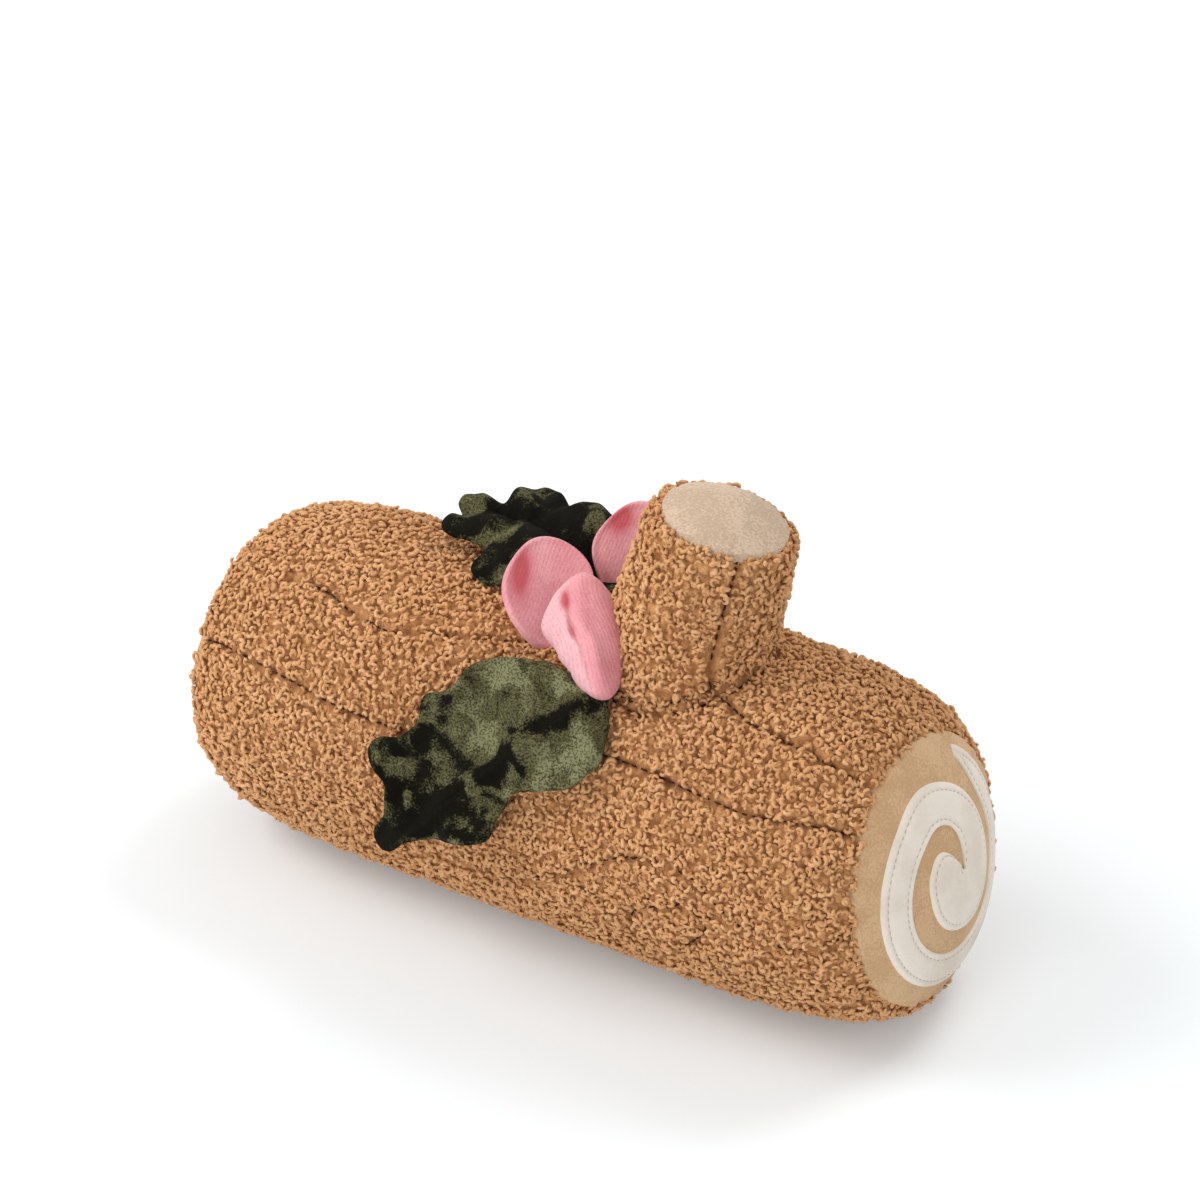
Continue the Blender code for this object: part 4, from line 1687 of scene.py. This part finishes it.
@dataclass
class Berry:
    """A puffed berry of ribbed velvet: a stuffed pod cupped about its long axis.

    Its sides are stations of (height from -1 to 1, half width in mm), for the side that lies left and
    the side that lies right when the berry's face is looked at.
    """

    name: str
    centre: Triple
    rise: Triple
    half_length: float
    half_thickness: float
    left: tuple
    right: tuple
    turn: float = 0.0
    cup: float = 0.0
    lip: float = 0.0
    crease: float = 0.0
    crease_line: tuple = ((-1, 0), (1, 0))
    # pale sets the painted highlight on the face left of the crease.
    pale: float = 0.15
    crimson_patch_at: tuple[float, float] = (0.6, 0.3)
    crimson_patch_size: tuple[float, float] = (0.25, 0.5)
    rib_spacing: float = 0.0017
    rib_height: float = 0.00012
    rib_turn: float = 0.0

    def axes(self) -> Array:
        """The berry's directions: to its right, out of its face, and up its length.

        Returns:
            One direction a row.
        """
        upright = Vector(self.rise).normalized()
        face = (BERRY_FACING - upright * BERRY_FACING.dot(upright)).normalized()
        swing = math.cos(self.turn) * face + math.sin(self.turn) * upright.cross(face)
        return np.array([swing.cross(upright), swing, upright]) * np.array([[-1.0], [1.0], [1.0]])

    def across_at(self, stations: tuple, high: Array) -> Array:
        """A measure between stations of height, eased by a cosine from each to the next.

        Args:
            stations: Pairs of height and measure in mm.
            high: Heights from -1 to 1.

        Returns:
            The measure at those heights, in metres.
        """
        known, values = np.array(stations, float).T
        at = np.clip(np.searchsorted(known, high, side="right") - 1, 0, len(known) - 2)
        t = np.clip((high - known[at]) / (known[at + 1] - known[at]), 0.0, 1.0)
        return MM * (values[at] + (values[at + 1] - values[at]) * (0.5 - 0.5 * np.cos(np.pi * t)))

    def build(self) -> Piece:
        """The berry's closed form.

        A sphere is stretched to its two sides, cupped by the square of the way across, given a lip at
        its edge and a crease down its face, and its ribs are a cosine of the way across.

        Returns:
            The new piece.
        """
        rows, columns = 170, 240
        polar = np.linspace(0.01, math.pi - 0.01, rows)
        turn = np.arange(columns) * TAU / columns
        p, t = np.meshgrid(polar, turn, indexing="ij")
        high, wide, deep = np.cos(p), np.sin(p) * np.cos(t), np.sin(p) * np.sin(t)
        across = wide * np.where(wide > 0, self.across_at(self.right, high), self.across_at(self.left, high))
        front = smoothstep(-0.1, 0.5, deep)
        depth = np.sign(deep) * np.abs(deep) ** 0.85 * self.half_thickness - self.cup * wide ** 2
        rim = np.hypot(wide, high)
        depth += self.lip * np.exp(-((1.0 - rim) / 0.10) ** 2) * front
        away = across - self.across_at(self.crease_line, high)
        fade = smoothstep(-1.1, -0.5, high) * smoothstep(1.02, 0.6, high)
        notch = 0.55 + 0.8 * np.exp(-((high - 0.06) / 0.14) ** 2)
        depth -= self.crease * notch * np.exp(-(away / 0.0016) ** 2) * fade * front
        depth += 0.5 * self.crease * np.exp(-((away - 0.0045) / 0.0035) ** 2) * fade * front
        lay = across * math.cos(self.rib_turn) + high * self.half_length * math.sin(self.rib_turn)
        rib = 0.5 + 0.5 * np.cos((lay + 0.0012 * np.sin(3.0 * high + 2.0 * wide)) / self.rib_spacing * TAU)
        depth += self.rib_height * (rib - 0.5) * np.sign(deep) * np.abs(deep) ** 0.4
        flat = np.stack([across, depth, high * self.half_length], -1)
        flat[..., 0] += 0.0007 * np.sin(5.0 * high + self.half_length * 900.0)
        points = np.asarray(self.centre) + flat @ self.axes()
        faces = grid_faces(rows, columns, wrap_columns=True)[:, ::-1]
        places = grid_map(rows, columns, wrap_columns=True)[:, ::-1] * 0.98
        first, last = np.arange(columns), np.arange(columns) + (rows - 1) * columns
        fans = np.concatenate([np.stack([first, np.roll(first, -1), np.full(columns, rows * columns)], 1),
                               np.stack([np.roll(last, -1), last, np.full(columns, rows * columns + 1)], 1)])
        fan_places = np.concatenate([places.reshape(-1, 2), np.full((fans.size, 2), 0.995)])
        every = np.concatenate([points.reshape(-1, 3), points[[0, -1]].mean(1)])
        piece = new_mesh_object(self.name, every, faces, fans, flat_map=fan_places)
        side, up = self.crimson_patch_at
        spot = np.exp(-((wide - side) / self.crimson_patch_size[0]) ** 2 - ((high - up) / self.crimson_patch_size[1]) ** 2)
        spot = np.clip(1.2 * spot, 0.0, 0.85) * smoothstep(-0.2, 0.3, deep)
        # Painted highlight on the face left of the crease.
        painted_highlight = self.pale * smoothstep(0.002, -0.003, away) * smoothstep(-0.1, 0.4, deep)
        for label, value in (("crimson_patch", spot), ("rib", rib), ("pale", painted_highlight)):
            set_values(piece, label, np.concatenate([value.ravel(), [value[0].mean(), value[-1].mean()]]))
        return piece


# --- The toy, and the studio round it ---


@dataclass
class PlushLog:
    """The whole toy: its forms come from the CAD nodes' boxes."""

    form: LogForm = field(init=False)
    stump: StumpForm = field(init=False)

    def __post_init__(self) -> None:
        """Read the log's sizes from its box."""
        low, high = (np.array(corner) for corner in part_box("log_body"))
        radius = (high[1] - low[1]) / 2
        far_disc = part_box("end_disc_far")
        self.form = LogForm(radius=radius, axis_z=high[2] - radius, half_length=-low[0],
                            seam_radius=(far_disc[1][1] - far_disc[0][1]) / 2)
        self.dome_rise = far_disc[1][0] - far_disc[0][0]
        self.stump = StumpForm(foot=np.array([0.0397, -0.0137, self.form.axis_z]),
                               direction=np.array([0.222, 0.111, 1.0]))

    def end_dome(self, end: End) -> Dome:
        """The domed disc of one end, its plane leaned as the near end is.

        Args:
            end: Which end.

        Returns:
            The disc's form.
        """
        side = end.value
        origin = np.array([side * self.form.half_length, 0.0, self.form.axis_z])
        slope = self.form.lean if end is End.NEAR else 0.0
        return Dome(rim=self.form.seam_radius, rise=self.dome_rise, origin=origin,
                    right=np.array([0.0, float(side), 0.0]), up=np.array([-slope, 0.0, 1.0]),
                    out=np.array([float(side), 0.0, 0.0]), seed=3 + side)

    def build_ends(self, suede: Material, cotton: Material,
                   thread: Material) -> None:
        """Both end discs with their bands and topstitching.

        Args:
            suede: The discs' material.
            cotton: The bands' material.
            thread: The topstitching's material.
        """
        for end in End:
            dome = self.end_dome(end)
            label = end.name.lower()
            finish_piece(dome.build(f"disc_{label}"), suede, (f"end_disc_{label}",))
            band = SpiralBand()
            finish_piece(band.build(f"band_{label}", dome), cotton, (f"spiral_{label}",))
            finish_piece(band.build_stitches(f"band_{label}_stitches", dome), thread)

    def foot_line(self) -> tuple[Array, Array]:
        """The seam where the stump meets the log: where the stump's side is the log's radius from its axis.

        Returns:
            The line in the log's cloth coordinates and in the stump's, each with its tightness.
        """
        turn = np.linspace(0.0, self.stump.girth, 160)
        up = np.linspace(0.0, 0.09, 400)
        s, q = np.meshgrid(up, turn, indexing="ij")
        points = self.stump.point(s, q)
        away = np.abs(np.hypot(points[..., 1], points[..., 2] - self.form.axis_z) - self.form.radius)
        nearest = away.argmin(0)
        place = points[nearest, np.arange(len(turn))]
        around = np.arctan2(-place[:, 1], place[:, 2] - self.form.axis_z) * self.form.radius
        tight = np.full(len(turn), 0.85)
        on_log = np.column_stack([self.form.s_at(place[:, 0]), around, tight])
        return on_log, np.column_stack([up[nearest] + 0.001, turn, tight])

    def build_log(self, cloth: BoucleCloth) -> None:
        """The boucle log with its bark lines.

        Args:
            cloth: Its materials.
        """
        lines = [line.on(self.form) for line in BARK_LINES] + [self.foot_line()[0]]
        cover = BoucleCover("log_cover", self.form, "log_body", lines, seed=11, fill=0.85, bands=5)
        cover.build(cloth)

    def build_stump(self, cloth: BoucleCloth, cap: Material) -> None:
        """The stump, its sewn lines and its domed cap.

        Args:
            cloth: The stump's materials.
            cap: The cap's material.
        """
        form = self.stump
        start = self.form.radius - 0.012 - form.buried_end
        front = flowing_line(((0.028, 0.217), (0.043, 0.209), (0.053, 0.206), (0.076, 0.205),
                              (form.length, 0.2055)), 60)
        rear = flowing_line(((0.028, 0.088), (0.060, 0.083), (form.length, 0.086)), 60)
        lines = [np.column_stack([line, np.full(60, 0.95)]) for line in (front, rear)]
        lines.append(self.foot_line()[1])
        cover = BoucleCover("stump_cover", form, "stump", lines, seed=23, fill=0.85, bands=1, first_s=start)
        cover.build(cloth)
        dome = Dome(rim=form.cap_radius, rise=0.0080, origin=form.foot + form.top * form.direction,
                    right=form.across, up=form.deep, out=form.direction, pucker=0.0003, seed=9)
        finish_piece(dome.build("stump_top", rings=40, spokes=160), cap, ("stump_cap",))

    def build_leaves(self, velvet: Material) -> None:
        """The two holly leaves.

        Args:
            velvet: Their material.
        """
        # Each leaf's last pair gives its painted shade at its base and at its tip.
        front = FrontLeaf("holly_front", FRONT_OUTLINE, FRONT_MIDRIB, FRONT_FOLDS, self.form, seed=4,
                          painted_shade=(-0.14, 0.58))
        back = BackLeaf("holly_back", BACK_OUTLINE, BACK_MIDRIB, BACK_FOLDS, self.form, seed=8,
                        painted_shade=(0.78, 0.62))
        finish_piece(front.build(), velvet, ("leaf_front",))
        finish_piece(back.build(), velvet, ("leaf_back",))

    def build_berries(self, velvet: Material) -> None:
        """The three berries.

        Args:
            velvet: Their material.
        """
        berries = (
            Berry("puff_front", centre=(0.0280, -0.0368, 0.1665), rise=(-0.58, 0.565, 0.597),
                  half_length=0.0300, half_thickness=0.0110, cup=0.007, crease=0.0036, pale=0.55,
                  left=((-1, 12.0), (-0.45, 14.0), (-0.1, 17.7), (0.38, 23.0), (0.71, 21.0), (1, 17.0)),
                  right=((-1, 12.0), (-0.65, 13.5), (0.0, 17.5), (0.36, 17.5), (0.79, 15.0), (1, 13.0)),
                  crease_line=((-1, -3.5), (-0.65, -4.0), (-0.27, -5.7), (0.06, -8.5), (0.74, -6.3), (1, -5)),
                  crimson_patch_at=(-0.38, 0.55), crimson_patch_size=(0.10, 0.16), rib_turn=0.12),
            Berry("puff_left", centre=(-0.0103, -0.0147, 0.1642), rise=(-0.39, 0.63, 0.67),
                  half_length=0.0268, half_thickness=0.0062, turn=0.30, cup=-0.006, lip=0.0022,
                  left=((-1, 19.0), (-0.5, 22.0), (0.2, 22.5), (1, 20.0)),
                  right=((-1, 16.0), (0.0, 20.0), (1, 20.0)),
                  crimson_patch_at=(-0.66, 0.25), crimson_patch_size=(0.20, 0.45), rib_turn=-0.35),
            Berry("puff_back", centre=(0.0113, 0.0243, 0.1705), rise=(-0.10, 0.60, 0.80),
                  half_length=0.0262, half_thickness=0.0062, turn=-0.1, cup=-0.005, lip=0.0020,
                  left=((-1, 15.0), (0.3, 19.5), (1, 19.0)), right=((-1, 15.0), (0.3, 19.5), (1, 19.0)),
                  crimson_patch_at=(-0.55, 0.60), crimson_patch_size=(0.28, 0.28), rib_turn=-0.2),
        )
        for berry, node in zip(berries, ("berry_front", "berry_left", "berry_back")):
            finish_piece(berry.build(), velvet, (node,))


@dataclass
class Studio:
    """A white floor, soft lamps and the camera."""

    target: Triple = (0.008, 0.0, 0.1598)
    azimuth: float = 32.6
    elevation: float = 31.0
    distance: float = 2.0
    lens: float = 134.2
    floor_glow: float = 0.16

    def build_camera(self) -> None:
        """The camera, looking at the target from its azimuth and elevation."""
        a, e = math.radians(self.azimuth), math.radians(self.elevation)
        back = Vector((math.sin(a) * math.cos(e), -math.cos(a) * math.cos(e), math.sin(e)))
        data = bpy.data.cameras.new("camera")
        data.lens = self.lens
        camera = new_object("camera", data)
        camera.location = Vector(self.target) + back * self.distance
        camera.rotation_euler = back.to_track_quat("Z", "Y").to_euler()
        bpy.context.scene.camera = camera

    def build_floor(self) -> None:
        """A wide white floor that keeps the toy's soft shadow."""
        half = 6.0
        points = half * np.array([[-1, -1, 0], [1, -1, 0], [1, 1, 0], [-1, 1, 0]]) - (0, 0, 0.0002)
        floor = new_mesh_object("floor", points, np.array([[0, 1, 2, 3]]))
        material = bpy.data.materials.new("white floor")
        material.use_nodes = True
        sheet = NodeSheet(material.node_tree)
        material.node_tree.nodes.clear()
        matte = sheet.add("ShaderNodeBsdfDiffuse", Color=(0.80, 0.832, 0.845, 1.0))
        rays = sheet.add("ShaderNodeLightPath")
        glow = sheet.add("ShaderNodeEmission", Color=(1.0, 1.0, 1.0, 1.0),
                         Strength=sheet.math("MULTIPLY", rays.outputs["Is Camera Ray"], self.floor_glow))
        both = sheet.add("ShaderNodeAddShader")
        sheet.feed(both, 0, matte.outputs[0])
        sheet.feed(both, 1, glow.outputs[0])
        leave = sheet.add("ShaderNodeOutputMaterial")
        sheet.feed(leave, "Surface", both.outputs[0])
        floor.data.materials.append(material)

    def build_lamp(self, name: str, place: tuple, size: float, watts: float) -> None:
        """A white square lamp that faces the toy.

        Args:
            name: The lamp's name.
            place: Where it stands.
            size: Its side.
            watts: Its power.
        """
        data = bpy.data.lights.new(name, "AREA")
        data.energy = watts
        data.size = size
        lamp = new_object(name, data)
        lamp.location = place
        lamp.rotation_euler = (Vector(place) - Vector((0.0, 0.0, 0.08))).to_track_quat("Z", "Y").to_euler()

    def build_world(self) -> None:
        """An even white world: full white to the camera, softer to the toy."""
        world = bpy.data.worlds.new("white room")
        bpy.context.scene.world = world
        world.use_nodes = True
        sheet = NodeSheet(world.node_tree)
        rays = sheet.add("ShaderNodeLightPath")
        seen = sheet.math("MAXIMUM", rays.outputs["Is Camera Ray"], rays.outputs["Is Glossy Ray"])
        seen = sheet.math("MAXIMUM", seen, rays.outputs["Is Transmission Ray"])
        background = world.node_tree.nodes["Background"]
        background.inputs["Color"].default_value = (1.0, 1.0, 1.0, 1.0)
        sheet.feed(background, "Strength", sheet.spread(seen, 0.0, 1.0, 0.47, 1.0))

    def build(self) -> None:
        """The whole studio."""
        bpy.context.scene.view_settings.view_transform = "Standard"
        self.build_camera()
        self.build_floor()
        self.build_world()
        self.build_lamp("key", (-1.4, -0.8, 1.5), 1.2, 26.0)
        self.build_lamp("fill", (1.7, -0.9, 1.0), 1.6, 7.0)
        self.build_lamp("back", (0.4, 1.3, 1.9), 1.0, 20.0)
        self.build_lamp("low", (0.0, -2.0, 0.45), 1.0, 12.0)


def main() -> None:
    """Build the studio and the toy, piece by piece."""
    logging.basicConfig(level=logging.INFO, format="%(name)s: %(message)s")
    Studio().build()
    mottle_group()
    nap_group()
    cloth = BoucleCloth(BOUCLE_BASE.build(), BOUCLE_YARN.build(), DARK_THREAD.build())
    toy = PlushLog()
    toy.build_ends(SUEDE.build(), COTTON.build(), CREAM_THREAD.build())
    toy.build_log(cloth)
    toy.build_stump(cloth, CAP_SUEDE.build())
    toy.build_leaves(VELVET.build())
    toy.build_berries(BERRY_VELVET.build())


if __name__ == "__main__":
    main()
